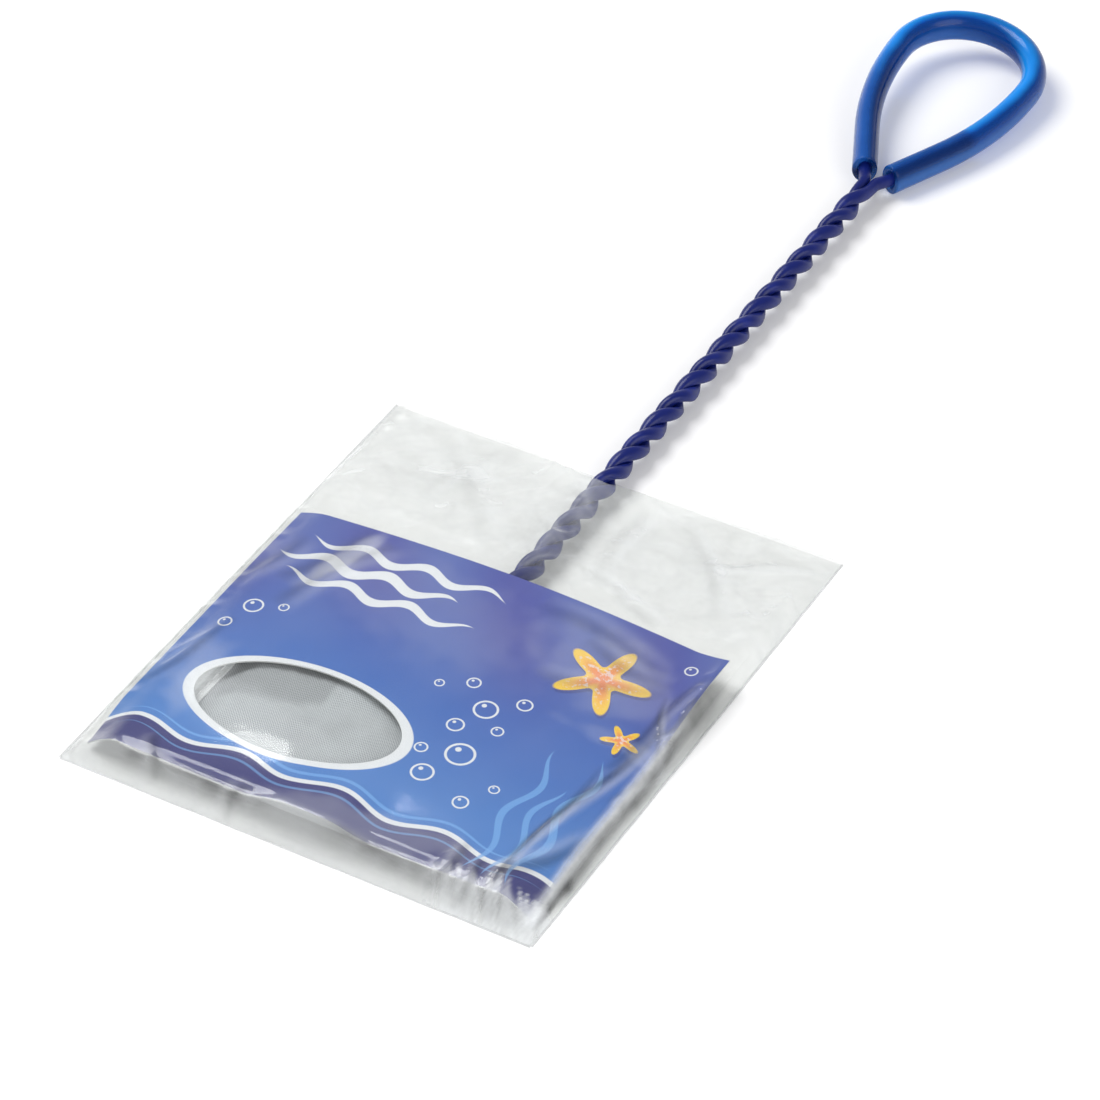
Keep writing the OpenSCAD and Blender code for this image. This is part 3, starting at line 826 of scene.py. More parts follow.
def strand(p, side, depth):
    """Half of the wire, from its end in the tube to the hoop: each point and how it is pressed."""
    leg_steps, spread_steps, turn_steps, neck_steps = 24, 14, 28 * p.turns, 10
    spread_l, neck_r = p.wire.spread_l, p.wire.neck_r
    pairs = []
    for i in range(leg_steps + 1):
        pairs.append((loop_point(p, side, depth * (1 - i / leg_steps)), Vector()))
    tip, foot = pairs[-1][0], twist_point(p, side, 1)
    out = raised(p, -side * math.sin(p.mouth_a), -math.cos(p.mouth_a)) * spread_l
    down = Vector((0, -spread_l, 0))
    for i in range(1, spread_steps):
        t = i / spread_steps
        point = (2 * t**3 - 3 * t**2 + 1) * tip + (t**3 - 2 * t**2 + t) * out
        point += (3 * t**2 - 2 * t**3) * foot + (t**3 - t**2) * down
        pairs.append((point, t * outwards(p, side, 1)))
    for i in range(turn_steps + 1):
        u = 1 - i / turn_steps
        pairs.append((twist_point(p, side, u), outwards(p, side, u)))
    for i in range(1, neck_steps + 1):
        a = math.pi / 2 * i / neck_steps
        x = side * (p.neck_x - neck_r * math.cos(a))
        point = Vector((x, p.neck_y - neck_r * math.sin(a), p.hoop_z))
        pairs.append((point, (1 - i / neck_steps) * outwards(p, side, 0)))
    return pairs


def hoop_line(p, inset=0.0, from_x=None):
    """The hoop from the left neck round the front to the right neck, moved in by the inset."""
    corner_steps = 18
    radius = p.wire.corner_r - inset
    points = []
    for quarter in (1, 2, 3, 0):
        middle = math.pi / 2 * (quarter + 0.5)
        cx = math.copysign(p.corner_x, math.cos(middle))
        cy = math.copysign(p.corner_y, math.sin(middle))
        for i in range(corner_steps + 1):
            a = math.pi / 2 * (quarter + i / corner_steps)
            points.append(Vector((cx + radius * math.cos(a), cy + radius * math.sin(a), p.hoop_z)))
    if from_x is None:
        return points
    first, last = (Vector((x, p.hoop_y - inset, p.hoop_z)) for x in (-from_x, from_x))
    return [first, *points, last]


def along(points):
    """A function that gives the point and direction at a distance along a line, and its length."""
    steps = [(b - a).length for a, b in zip(points, points[1:])]
    starts = [0.0]
    for step in steps:
        starts.append(starts[-1] + step)

    def at(s):
        i = sum(begun < s for begun in starts[1:-1])
        a, b = points[i], points[i + 1]
        t = clamp((s - starts[i]) / steps[i]) if steps[i] else 0.0
        return between(a, b, t), (b - a).normalized()

    return at, starts[-1]


# How the card bends, in metres.
ARCH_HALF, ARCH_FADE = 0.005, 0.013  # half width of the front edge's arch, and where it ends
FRONT_BEND_L = 0.018  # length over which the card comes down to its front edge
TIP_START, TIP_DROP = 0.0022, 0.0012  # where the edge dips beyond the hoop, and how deep
LAP_RISE_START, LAP_RISE_L = 0.045, 0.04  # where the right lap levels, and over what length
CURL_H, CURL_L = 0.00035, 0.02  # the back corners' curl: how deep and how long
DIP_H, SINK = 0.00025, 0.0001  # the sheet's slow waves, and how far it lies under its plan


def card_low(p, x, y):
    """Height of the card's underside: crowned, with bent laps.

    The laps level at the right back and dip in front. The front edge lies flat on the hoop
    but for its middle, which clears the shaft when the card is pulled.
    """
    a = abs(x)
    if a > p.fold_x:
        level = smooth((y - p.card_back_y + LAP_RISE_START) / LAP_RISE_L) if x > 0 else 0
        bent = 1 - 1.45 * level
        bent += 0.95 * smooth((p.card_front_y + FRONT_BEND_L - y) / FRONT_BEND_L)
        return p.seat_z - bent * p.card.lap_drop * ((a - p.fold_x) / p.card.lap_w) ** 1.5
    crown = 1 - (a / p.fold_x) ** 2
    aside = smooth((a - ARCH_HALF) / ARCH_FADE)
    flat = (0.28 + 0.57 * aside) * smooth((-y - p.hoop_y + FRONT_BEND_L) / FRONT_BEND_L)
    tip_y = p.hoop_y + TIP_START
    tip = TIP_DROP * smooth((-y - tip_y) / (-p.card_front_y - tip_y))
    return p.seat_z + (p.crown_z - p.seat_z) * crown * (1 - flat) - tip * aside * crown**0.5


def film_low(p, x, y):
    """Height of the smooth front film: over the card, then down to a ridge over the shaft."""
    gap, low = p.bag.rest_gap, p.film_low_z
    out = clamp((abs(x) - p.card_x) / (p.film_x - p.card_x))
    card_top = card_low(p, min(max(x, -p.card_x), p.card_x), y) + p.card.card_t + gap
    over_card = between(low, card_top, 1 - out**2)
    aside = clamp((abs(x) - p.ridge_flat_x) / p.bag.ridge_w)
    over_shaft = between(low, p.ridge_z, (1 - aside) ** 2)
    up = smooth((y - p.film_front_y) / (p.card_front_y - gap - p.film_front_y))
    fall = smooth((y - p.card_back_y - gap) / (p.mouth_y - p.card_back_y - gap))
    return between(low, between(over_card, over_shaft, fall), up)


CREASES = [
    # from x, from y, to x, to y, height, half width, in millimetres
    (-33, 51, -47, 26, 0.40, 2.6),
    (-29, 50, -44, 18, 0.40, 2.0),
    (-50, 44, -57, 20, 0.30, 2.0),
    (12, 50, 50, 44, 0.30, 2.2),
    (27, 43, 52, 39, 0.36, 1.8),
    (22, 28, 53, 36, 0.30, 1.8),
    (57, 30, 50, -32, 0.70, 0.9),
    (51, 8, 50, -43, 0.45, 0.8),
    (60, 46, 52, 6, 0.50, 1.1),
    (54, 36, 61, 12, 0.55, 0.6),
    (61, 38, 57, 22, 0.50, 0.6),
    (62, 30, 59, -2, 0.45, 0.6),
    (46, -38, 60, -12, 0.45, 1.4),
    (34, -44, 38, -30, 0.50, 1.2),
    (41, -45, 44, -33, 0.60, 1.0),
    (50, -45, 47, -30, 0.55, 1.1),
    (-40, -45, -44, -34, 0.40, 1.3),
    (-20, -45, -16, -37, 0.35, 1.4),
    (-60, -20, -50, 10, 0.40, 1.3),
    (-44, 100, -8, 62, 0.45, 2.4),
    (-56, 76, -20, 88, 0.35, 2.2),
    (-30, 104, -34, 70, 0.30, 2.0),
    (14, 98, 20, 64, 0.70, 1.8),
    (24, 102, 52, 66, 0.60, 1.6),
    (60, 98, 30, 82, 0.55, 1.6),
    (6, 66, 40, 58, 0.50, 1.5),
    (-6, 92, 6, 84, 0.45, 1.3),
    (-6, 76, 7, 70, 0.45, 1.2),
]

# Painted glare patches on the front film.
PAINTED_GLARE_PATCHES = [
    # middle x, middle y, half length, half width, turn in degrees, strength
    (-38.5, 39, 13, 3.4, 70, 0.17),
    (-10, 34, 34, 16, -12, 0.03),
    (36, 36, 22, 13, -20, 0.06),
    (26, 62, 9, 2.2, -10, 0.08),
    (36, 60, 8, 1.8, -25, 0.07),
    (-28, -18, 26, 9, -12, 0.05),
    (-46, -12, 8, 14, 15, 0.09),
    (14, -37, 34, 5, 8, 0.08),
    (54, 16, 3, 18, 90, 0.05),
]

PAINTED_SHADOW_LINES = [(-47, -41), (-33, -14), (10, 25)]  # stretches of x along the card's front edge that get painted shadow lines


def creases_by(x, y):
    """For each crease by a point in millimetres: height, distance from it, bend, half width."""
    for x0, y0, x1, y1, tall, wide in CREASES:
        dx, dy = x1 - x0, y1 - y0
        t = ((x - x0) * dx + (y - y0) * dy) / (dx * dx + dy * dy)
        if -0.1 < t < 1.1:
            off = ((x - x0) * dy - (y - y0) * dx) / math.hypot(dx, dy)
            fade = math.sin(math.pi * clamp(t)) ** 0.6
            yield tall * fade, off, 1.2 * math.sin(t * 5 + x0), wide


def crease_height(x, y):
    """Height in metres of the creases at a point given in millimetres."""
    return MM * sum(
        tall * math.exp(-((abs(abs(off) + bend) / wide) ** 1.5))
        for tall, off, bend, wide in creases_by(x, y)
    )


def crease_tone(x, y, flank):
    """How strong one flank of the creases shows at a point given in millimetres, as painted light
    on one flank and painted shade on the other.
    """
    return sum(
        tall * math.exp(-(((off + bend) / wide + flank) ** 2))
        for tall, off, bend, wide in creases_by(x, y)
    )


def haze_and_painted_glare(p, x, y):
    """How milky the front film is at a point given in millimetres: haze with painted glare."""
    front, back = p.card_front_y / MM, p.card_back_y / MM
    # Along the closed end, haze with painted light over the shade under the card's front edge, and
    # long painted glare streaks in its right corner.
    corner = 4.2 * smooth((x - 27) / 20) * ridged(2.2 * x + 0.8 * y, 0.45 * y, 5, 12)
    milk = 0.12 + 0.08 * ridged(x, y, 7, 12) + 0.36 / 4.2 * corner
    total = smooth((front + 1.8 + corner - y) / 3.5) * milk
    # Painted sheen in patches behind the card, a painted glare strip beside its right edge, and
    # painted light on one flank of each crease.
    beyond = 0.05 * ridged(x, y, 18, 51) ** 2 + 0.07 * ridged(x, y, 8, 52) ** 3
    total += smooth((y - back) / 5) * beyond
    side = smooth((y + 44) / 3) * (1 - smooth((y - 14) / 24))
    total += 0.4 * band(x, p.card_x / MM + 0.5, 1.1) * side
    total += 0.22 * crease_tone(x, y, 0.8)
    # Painted glare in oval patches with uneven edges.
    for cx, cy, long, wide, turn, strength in PAINTED_GLARE_PATCHES:
        c, s = math.cos(math.radians(turn)), math.sin(math.radians(turn))
        dx, dy = x - cx, y - cy
        far = math.hypot((dx * c + dy * s) / long, (dy * c - dx * s) / wide)
        far += 0.35 * lumps(x / 6, y / 6, cx)
        total += strength * (1 - smooth((far - 0.55) / 0.6))
    return total


def painted_film_shade(p, x, y):
    """How much painted shade dims what lies behind the front film at a point given in millimetres.
    """
    side, front, back = p.card_x / MM, p.card_front_y / MM, p.card_back_y / MM
    # Painted shade on the steep film beside the right lap, and a sharper painted shadow line in it.
    steep = smooth((x - side + 0.6) / 0.8) * (1 - smooth((x - p.film_x / MM + 2.2) / 2.0))
    ends = smooth((y - front + 3) / 5) * (1 - smooth((y - back + 16) / 14))
    total = steep * ends * (0.28 + 0.4 * ridged(x * 0.6, y, 6, 41))
    streaks = 0.6 + 1.5 * smooth((16 - y) / 40) * ridged(x, y, 14, 43)
    total += ends * band(x, side + 2.0 + 0.3 * math.sin(y / 5), 0.45) * streaks
    # Painted shade at the closed end, the left margin and in patches on the free film behind the
    # card.
    total += 0.2 * smooth((front - y) / 2) + 0.13 * smooth((-x - side) / 2)
    free = smooth((y - back) / 6)
    total += free * (0.05 * ridged(x, y, 22, 61) + 0.07 * ridged(x, y, 9, 62) ** 2)
    # Painted shadow lines along the card's front edge, and painted shade on the other flank of each
    # crease.
    line = band(y, front - 1.3 + 0.5 * math.sin(x / 7), 0.7)
    for first, last in PAINTED_SHADOW_LINES:
        total += 0.7 * line * band(x, (first + last) / 2, (last - first) / 2)
    return total + (1.1 - 0.8 * free) * crease_tone(x, y, -0.8)


def slackness(p, x, y):
    """How free the film is at a point: 0 on the card and 1 where nothing fills the bag."""
    behind, before = (y - p.card_back_y) / (9 * MM), (p.card_front_y - y) / (4 * MM)
    return smooth(max(behind, before, (abs(x) - p.card_x) / (3 * MM)))


def film_ripples(p, x, y):
    """How far the front film stands above its smooth shape."""
    slack = slackness(p, x, y)
    u, v, out = x / MM, y / MM, abs(x)
    loose = 0.45 * ridged(u, v, 24, 3) + 0.35 * ridged(u * 1.2, v * 0.8, 11, 7)
    loose += 0.2 * ridged(u, v, 5.5, 5)
    taut = 0.6 * ridged(u * 0.7, v, 30, 11) + 0.3 * ridged(u, v * 0.7, 13, 2)
    taut += 0.1 * ridged(u, v, 6, 8)
    side = smooth((out - p.card_x) / (4 * MM) + 1) * (1 - smooth((out - p.film_x) / (2 * MM) + 1))
    pucker = 0.0005 * side * ridged(u * 0.4, v, 6, 31 if x > 0 else 37)
    edge = clamp((p.film_x - out) / (3 * MM)) * clamp((y - p.film_front_y) / (2.5 * MM))
    height = slack * p.bag.crumple_h * loose + (1 - slack) * p.bag.taut_h * taut
    return edge * (height + pucker + crease_height(u, v))


class NET_OT_wire(bpy.types.Operator):
    """Build the coated wire of the hoop and the twisted shaft"""

    bl_idname = "net.wire"
    bl_label = "Coated wire"

    def execute(self, context):
        p = plan()
        left = strand(p, -1, p.tube.wire_in_left)
        right = strand(p, 1, p.tube.wire_in_right)
        pairs = left + [(point, Vector()) for point in hoop_line(p)] + right[::-1]
        apart = 1e-6
        pairs = [a for a, b in zip(pairs, pairs[1:]) if (b[0] - a[0]).length > apart] + pairs[-1:]
        piece = bar("coated_wire", [[point for point, _ in pairs]], p.strand_r, resolution=6)
        widening = 1 / (1 - p.wire.press) - 1

        def pressed(w, way):
            return (1 + widening * way.length) * w - (widening + p.wire.press) * w.dot(way) * way

        reshape(piece, pairs, pressed)
        pick(piece)
        bpy.ops.object.mode_set(mode="EDIT")
        bpy.ops.mesh.select_all(action="DESELECT")
        bpy.ops.object.mode_set(mode="OBJECT")
        for face in piece.data.polygons:
            face.select = len(face.vertices) > 4
        bpy.ops.object.mode_set(mode="EDIT")
        bpy.ops.mesh.inset(thickness=p.strand_r - p.wire.core_d / 2, depth=0.0001)
        bpy.ops.object.mode_set(mode="OBJECT")
        c = context.scene.net_colours
        ends = [face.index for face in piece.data.polygons if face.select]
        keep(piece, "net", "frame_wire", "coated_wire", vinyl_look(c), steel_look(c))
        for index in ends:
            piece.data.polygons[index].material_index = 1
        shade(piece)
        return {"FINISHED"}


LIT_WAY = Vector((-0.65, 0.27, 0.71))  # way out of the tube's wall towards the key lamp, the side whose colour is painted lighter


class NET_OT_grip(bpy.types.Operator):
    """Build the translucent grip tube with its open bore"""

    bl_idname = "net.grip"
    bl_label = "Grip tube"

    def execute(self, context):
        p = plan()
        steps = 72
        half = [i / steps * p.half_l for i in range(steps + 1)]
        line = [loop_point(p, -1, s) for s in half] + [loop_point(p, 1, s) for s in half[-2::-1]]
        radii = [1 + 0.012 * noise.noise(point / 0.012) for point in line]
        piece = bar("grip_tube_shell", [line], p.tube_r, resolution=14, caps=False, radii=radii)
        growth = p.tube.tube_h / p.tube.tube_w - 1
        off = raised(p, 0, 0, 1)
        pairs = [(point, off) for point in line]
        reshape(piece, pairs, lambda w, way: w + growth * w.dot(way) * way)
        sides = len(piece.data.vertices) // len(line)
        left_fade, right_fade = 0.03, 0.004
        # Painted light: glow is how far each point of the wall faces the key lamp, and full is 1
        # where the wire fills the bore.
        glow, full = [], []
        for i, point in enumerate(line):
            left, right = half[min(i, steps)], half[min(2 * steps - i, steps)]
            hollow = smooth((left - p.tube.wire_in_left) / left_fade + 0.5)
            hollow *= smooth((right - p.tube.wire_in_right) / right_fade + 0.5)
            for vertex in piece.data.vertices[i * sides : (i + 1) * sides]:
                glow.append((vertex.co - point).normalized().dot(LIT_WAY))
                full.append(1 - hollow)
        mark(piece, "glow", glow)
        mark(piece, "full", full)
        wall = p.tube_r - p.strand_r - p.tube.bore_fit
        lip, sharp = 0.00035, math.radians(60)
        modify(piece, "WELD", merge_threshold=1e-6)
        modify(piece, "SOLIDIFY", thickness=wall, offset=-1)
        modify(piece, "BEVEL", width=lip, segments=3, limit_method="ANGLE", angle_limit=sharp)
        shade(piece, 50)
        keep(piece, "net", "grip_tube", "grip_tube", tube_look(context.scene.net_colours))
        return {"FINISHED"}


class NET_OT_hem(bpy.types.Operator):
    """Build the woven hem band and the stitches that close it"""

    bl_idname = "net.hem"
    bl_label = "Hem band and stitches"

    def execute(self, context):
        p = plan()
        net, c = p.net, context.scene.net_colours
        from_x = p.neck_x + net.hem_end_gap
        at, long = along(hoop_line(p, 0, from_x))
        radius = p.strand_r + net.hem_fit + net.hem_ply / 2
        tab_z = net.hem_ply / 2 + 0.00002
        join_a = math.asin(tab_z / radius)
        tab_l = net.hem_reach - radius * math.cos(join_a)
        arc_l = (TURN - 2 * join_a) * radius
        wide = 2 * tab_l + arc_l

        def section(s):
            if s < tab_l:
                return net.hem_reach - s, tab_z
            if s < tab_l + arc_l:
                a = join_a + (s - tab_l) / radius
                return radius * math.cos(a), radius * math.sin(a)
            return net.hem_reach - (wide - s), -tab_z

        def place(u, v):
            middle, way = at(u * long)
            inward, high = section(v * wide)
            pucker = 0.00006 * math.sin(TURN * u * long / net.stitch_pitch)
            ruffle = 0.00018 * lumps(u * long / 0.006, v * 2, 4)
            on_tab = smooth((inward - radius) / (net.hem_reach - radius))
            high += on_tab * (pucker + ruffle)
            grow = 1 + 0.03 * lumps(u * long / 0.004, v * 5, 2) * (1 - on_tab)
            inwards = Vector((-way.y, way.x, 0)) * inward * grow
            return middle + inwards + Vector((0, 0, high * (1 if on_tab else grow)))

        hem = grid("hem_band", 560, 40, place)
        modify(hem, "SOLIDIFY", thickness=net.hem_ply * 0.92, offset=0)
        shade(hem, 60)
        keep(hem, "net", "net_hem", "hem_band", hem_look(c, long, wide))

        at, run = along(hoop_line(p, net.hem_reach - net.stitch_margin, from_x))
        count = int((run - net.stitch_l) / net.stitch_pitch) + 1
        first = (run - (count - 1) * net.stitch_pitch) / 2
        under_l = net.stitch_pitch - net.stitch_l + 2 * net.thread_d
        top = net.hem_ply + net.thread_d * 0.35
        lines = []
        for i in range(2 * count - 1):
            span, lift = (under_l, -top) if i % 2 else (net.stitch_l, top)
            line = []
            for k in range(-4, 5):
                point, _ = at(first + i * net.stitch_pitch / 2 + k / 4 * span / 2)
                line.append(point + Vector((0, 0, lift * (1 - 0.75 * abs(k / 4) ** 5))))
            lines.append(line)
        thread = bar("hem_thread", lines, net.thread_d / 2, resolution=2)
        shade(thread, 60)
        keep(thread, "net", "hem_stitches", "thread", thread_look(c))
        return {"FINISHED"}


class NET_OT_pouch(bpy.types.Operator):
    """Build the folded mesh pouch inside the hoop"""

    bl_idname = "net.pouch"
    bl_label = "Mesh pouch"

    def execute(self, context):
        p = plan()
        net, c = p.net, context.scene.net_colours
        overlap = 0.0008
        tuck = net.hem_reach - overlap
        edge_x, edge_y, corner = p.hoop_x - tuck, p.hoop_y - tuck, p.wire.corner_r - tuck
        turns = [edge_y, -0.78 * edge_y, 0.55 * edge_y, -edge_y]
        runs = [abs(b - a) for a, b in zip(turns, turns[1:])]
        heights = [0.0025, 0.0002, -0.0016]
        wide, long = 2 * edge_x, sum(runs)
        step = 0.12

        def place(u, v):
            # Which of the three layers the point is in, and how far along it.
            s, layer = v * long, 0
            while layer < 2 and s >= runs[layer]:
                s -= runs[layer]
                layer += 1
            t = s / runs[layer]
            y = between(turns[layer], turns[layer + 1], t)
            over = max(0.0, abs(y) - (edge_y - corner))
            half = edge_x - corner + math.sqrt(max(corner**2 - over**2, 0.0))
            x = (2 * u - 1) * half
            # Each layer's height, joined at the folds and laid on the hem at the edges.
            lift = heights[layer]
            if layer < 2 and t > 1 - step:
                lift = between(lift, heights[layer + 1], 0.5 * smooth((t - 1 + step) / step))
            if layer > 0 and t < step:
                lift = between(lift, heights[layer - 1], 0.5 * smooth((step - t) / step))
            inside = clamp((1 - abs(2 * u - 1)) * 5) * clamp((edge_y - abs(y)) / (0.22 * edge_y))
            # Soft bowed folds with small creases, flatter in the lower layers.
            bowed = (y + x * x / (8 * net.fold_pitch)) / net.fold_pitch
            wave = math.sin(TURN * bowed + 1.7 * layer) * math.cos(math.pi * x / (3 * edge_x))
            small = lumps(x / 0.009, y / 0.005, layer * 3.1)
            soft = net.fold_h * (0.75 * wave + 0.35 * small)
            soft += 0.0003 * ridged(x / MM, y / MM, 9, layer * 5 + 1) - 0.0002
            rise = smooth(inside) * (lift + soft * (0.45 if layer else 1.0))
            return Vector((x, y + 0.0004 * small, p.hoop_z + rise))

        piece = grid("mesh_pouch", 170, 300, place)
        shade(piece, 80)
        keep(piece, "net", "net_pouch", "mesh", mesh_look(c, wide, long, net.mesh_pitch))
        return {"FINISHED"}


class NET_OT_card(bpy.types.Operator):
    """Build the printed card with its oval window and bent laps"""

    bl_idname = "net.card"
    bl_label = "Printed card"

    def execute(self, context):
        p = plan()
        card, c = p.card, context.scene.net_colours
        wide, long = 2 * p.card_x, p.card_back_y - p.card_front_y

        def place(u, v):
            return Vector((-p.card_x + u * wide, p.card_front_y + v * long, 0))

        piece = grid("printed_card", 116, 94, place)
        modify(piece, "SOLIDIFY", thickness=card.card_t, offset=1)
        start()
        centre = (-card.window_left, -card.window_front, 0)
        bpy.ops.mesh.primitive_cylinder_add(vertices=128, radius=1, depth=0.02, location=centre)
        cutter = bpy.context.object
        cutter.scale = (card.window_w / 2, card.window_h / 2, 1)
        bpy.ops.object.transform_apply(location=False, rotation=False, scale=True)
        modify(piece, "BOOLEAN", object=cutter, operation="DIFFERENCE", solver="EXACT")
        bpy.data.objects.remove(cutter)
        modify(piece, "TRIANGULATE")
        for vertex in piece.data.vertices:
            x, y, z = vertex.co
            out = abs(x) / p.card_x
            curl = CURL_H * smooth((y - p.card_back_y) / CURL_L + 1) * out**2
            dip = DIP_H * math.sin(x / 0.017 + 1) * math.sin(y / 0.023) * (1 - out**4)
            vertex.co.z = z + card_low(p, x, y) - curl + dip - SINK
        keep(piece, "card", "insert_card", "printed_card", print_look(c, p), board_look(c))
        for face in piece.data.polygons:
            face.material_index = 0 if face.normal.z > 0.5 else 1
        shade(piece, 35)
        return {"FINISHED"}


class NET_OT_bag(bpy.types.Operator):
    """Build the crinkled clear bag: two films, two welded edges and a folded end"""

    bl_idname = "net.bag"
    bl_label = "Clear bag"

    def execute(self, context):
        p = plan()
        bag, c = p.bag, context.scene.net_colours
        wide, long = 2 * p.film_x, p.mouth_y - p.film_front_y

        def front_place(u, v):
            x, y = -p.film_x + u * wide, p.film_front_y + v * long
            lifted = (film_low(p, x, p.mouth_y) - p.film_low_z) / (p.ridge_z - p.film_low_z)
            y -= bag.draw_back * lifted * max(0.0, (v - 0.65) / 0.35) ** 2
            return Vector((x, y, film_low(p, x, y) + film_ripples(p, x, y)))

        def back_place(u, v):
            x, y = -p.film_x + u * wide, p.film_front_y + v * long
            wave = ridged(x / MM, y / MM, 12, 21) * 0.6 + ridged(x / MM, y / MM, 5, 4) * 0.4
            return Vector((x, y, 0.00003 + 0.00009 * wave))

        front = grid("front_film", bag.columns, bag.rows, front_place)
        back = grid("back_film", bag.columns // 2, bag.rows // 2, back_place)
        for piece, milk in ((front, 0.025), (back, 0.02)):
            spots = [(vertex.co.x, vertex.co.y) for vertex in piece.data.vertices]
            mark(piece, "slack", [slackness(p, x, y) for x, y in spots])
            if piece == front:
                # Painted glare and painted shade, stored on the front film's points.
                mark(piece, "painted_glare_haze", [haze_and_painted_glare(p, x / MM, y / MM) for x, y in spots])
                mark(piece, "dark", [painted_film_shade(p, x / MM, y / MM) for x, y in spots])
            modify(piece, "SOLIDIFY", thickness=bag.film_t, offset=1)
            shade(piece, 80)
            keep(piece, "bag", f"bag_{piece.name}", "film", film_look(piece.name, c, milk))
        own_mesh(front)

        def shake(a, b):
            return 0.12 * MM * lumps(a, b, 2)

        steps = 200
        ys = [p.film_front_y + long * i / steps for i in range(steps + 1)]
        xs = [-p.film_x + wide * i / steps for i in range(steps + 1)]
        weld_x, fold_y = (p.film_x + p.bag_x) / 2, p.bag_front_y + bag.weld_w / 2
        middle = p.weld_h / 2
        lines = {
            "left_weld": [(-weld_x + shake(-1, y / 0.01), y, middle) for y in ys],
            "right_weld": [(weld_x + shake(1, y / 0.01), y, middle) for y in ys],
            "bottom_fold": [(x, fold_y + shake(x / 0.01, 5), middle) for x in xs],
        }
        flat = 0.8 * p.weld_h / bag.weld_w
        weld_look = film_look("weld_film", c, 0.2)
        for name, line in lines.items():
            piece = bar(name, [line], bag.weld_w / 2, resolution=4)
            for vertex in piece.data.vertices:
                vertex.co.z = between(middle, vertex.co.z, flat)
            count = len(piece.data.vertices)
            mark(piece, "slack", [1.0] * count)
            mark(piece, "dark", [0.5] * count)
            shade(piece, 80)
            keep(piece, "bag", f"bag_{name}", "weld", weld_look)
        return {"FINISHED"}


AZIMUTH = math.radians(29.7)
ELEVATION = math.radians(40.0)
DISTANCE = 1.2
TARGET = Vector((-0.0015, 0.0755, 0.0))
FOCAL_PX, IMAGE_PX, SENSOR = 4921.0, 1100.0, 36.0
WHITE = (1, 1, 1, 1)


def upwards(level, height):
    """A level way raised by an angle."""
    return level * math.cos(height) + Vector((0, 0, math.sin(height)))


def aim(thing, way, distance):
    """Puts a lamp or camera that way from the target and points it there."""
    thing.location = TARGET + way * distance
    thing.rotation_euler = way.to_track_quat("Z", "Y").to_euler()
    bpy.context.scene.collection.objects.link(thing)


def lamp(name, turn, height, distance, size, power):
    """Soft round lamp, so many degrees left of straight behind the object for the camera."""
    a = AZIMUTH + math.radians(turn)
    data = bpy.data.lights.new(name, "AREA")
    data.shape, data.size, data.energy = "DISK", size, power
    way = upwards(Vector((-math.sin(a), math.cos(a), 0)), math.radians(height))
    aim(bpy.data.objects.new(name, data), way, distance)


def floor_look():
    """White floor that keeps the object's soft shadow."""
    look = Look("studio_floor")
    camera, gloss, through = look.rays("Camera", "Glossy", "Transmission")
    diffuse = look.plastic(
        Base_Color=look.blend(look.cloud(0.05, 2), (0.80, 0.80, 0.805), (0.79, 0.79, 0.795)),
        Roughness=0.9,
        Specular_IOR_Level=0.0,
    )
    strength = 0.13 * camera.most(gloss).most(through)
    glow = look.node("ShaderNodeEmission", {"Color": WHITE, "Strength": strength})
    return look.show(look.node("ShaderNodeAddShader", {0: diffuse, 1: glow}))


def studio_look(world):
    """White world, dimmer overhead in reflections."""
    look = Look("studio", world)
    _, _, height = look.axes("Generated")
    camera, gloss, through = look.rays("Camera", "Glossy", "Transmission")
    room = 1 - 0.65 * height.rise(0.05, 0.5)
    strength = 0.42 * (1 - camera.most(gloss).most(through)) + camera + 0.4 * through
    strength += gloss * room * (1 - camera)
    glow = look.node("ShaderNodeBackground", {"Color": WHITE, "Strength": strength})
    look.node("ShaderNodeOutputWorld", {"Surface": glow})


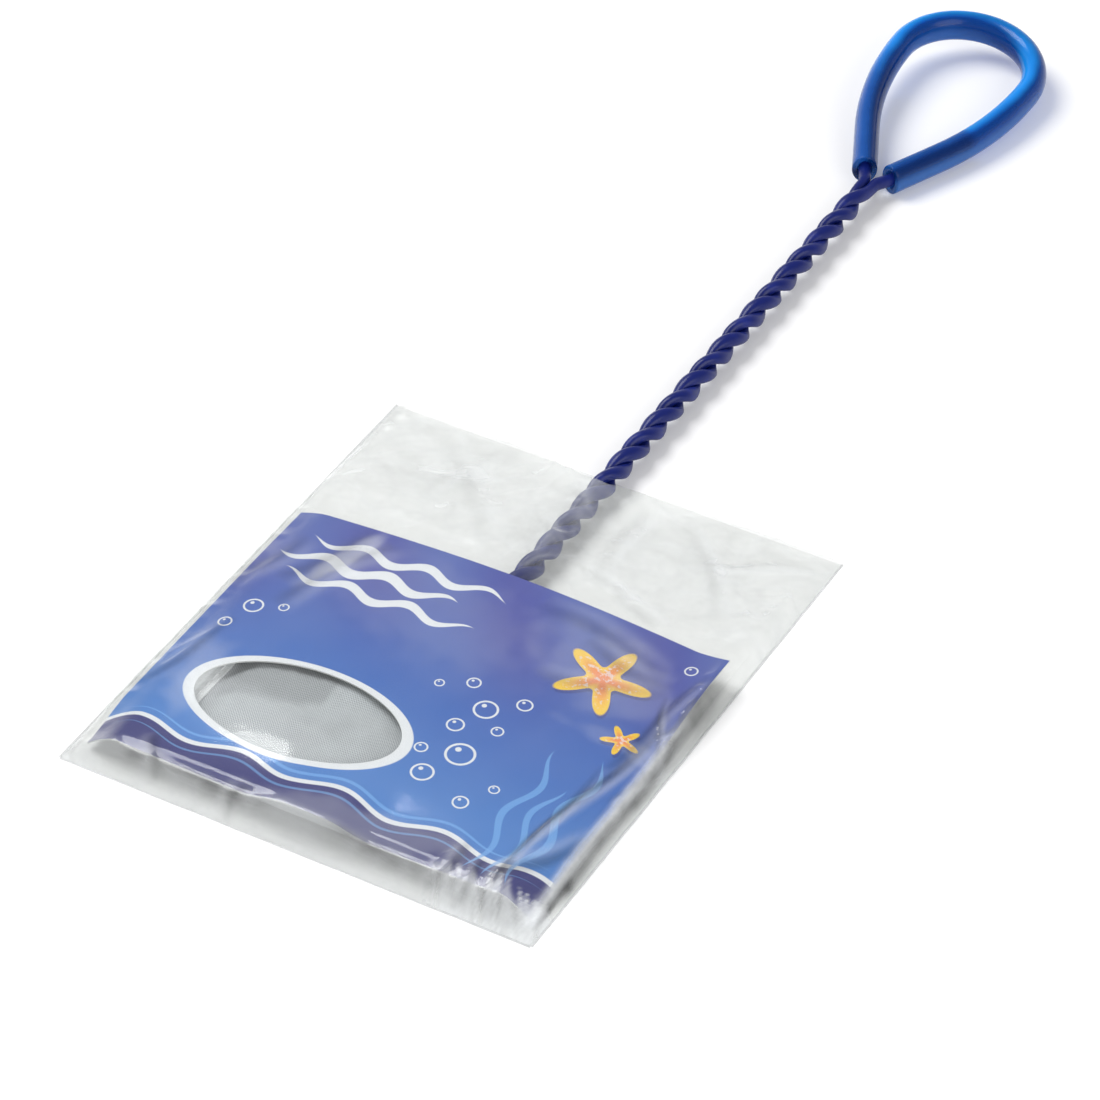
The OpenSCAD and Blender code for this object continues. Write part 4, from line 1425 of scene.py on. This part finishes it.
class NET_OT_stage(bpy.types.Operator):
    """Set the white floor, the lamps, the world and the camera"""

    bl_idname = "net.stage"
    bl_label = "Stage"

    def execute(self, context):
        scene = context.scene
        start()
        bpy.ops.mesh.primitive_plane_add(size=8, location=(0, 0, -0.0002))
        floor = bpy.context.object
        floor.name = "floor"
        floor.data.materials.append(floor_look())
        lamp("key", turn=50, height=56, distance=1.25, size=0.8, power=13.0)
        lamp("fill", turn=-140, height=28, distance=1.6, size=1.4, power=13.0)
        camera = bpy.data.objects.new("camera", bpy.data.cameras.new("camera"))
        level = Vector((math.sin(AZIMUTH), -math.cos(AZIMUTH), 0))
        aim(camera, upwards(level, ELEVATION), DISTANCE)
        camera.data.sensor_width = SENSOR
        camera.data.lens = FOCAL_PX / IMAGE_PX * SENSOR
        camera.data.clip_start, camera.data.clip_end = 0.05, 20
        scene.camera = camera
        scene.world = bpy.data.worlds.new("studio")
        studio_look(scene.world)
        scene.view_settings.view_transform = "Standard"
        return {"FINISHED"}


class NET_PT_build(bpy.types.Panel):
    """Lists the sizes and the build steps"""

    bl_idname = "NET_PT_build"
    bl_label = "Hand net"
    bl_space_type = "VIEW_3D"
    bl_region_type = "UI"
    bl_category = "Hand net"

    def draw(self, context):
        for step in STEPS:
            self.layout.operator(step.bl_idname)
        for name, group in GROUPS.items():
            box = self.layout.box()
            box.label(text=group.__doc__)
            for key in group.__annotations__:
                box.prop(getattr(context.scene, name), key)


STEPS = (
    NET_OT_stage, NET_OT_wire, NET_OT_grip, NET_OT_hem, NET_OT_pouch, NET_OT_card, NET_OT_bag
)


def register():
    """Adds the property groups, the operators and the panel."""
    for name, group in GROUPS.items():
        bpy.utils.register_class(group)
        setattr(bpy.types.Scene, name, PointerProperty(type=group))
    for item in (*STEPS, NET_PT_build):
        bpy.utils.register_class(item)


def unregister():
    """Takes them away again."""
    for item in (NET_PT_build, *reversed(STEPS)):
        bpy.utils.unregister_class(item)
    for name, group in GROUPS.items():
        delattr(bpy.types.Scene, name)
        bpy.utils.unregister_class(group)


def main():
    """Builds every piece in order."""
    register()
    for step in STEPS:
        area, action = step.bl_idname.split(".")
        getattr(getattr(bpy.ops, area), action)()


if __name__ == "__main__":
    main()
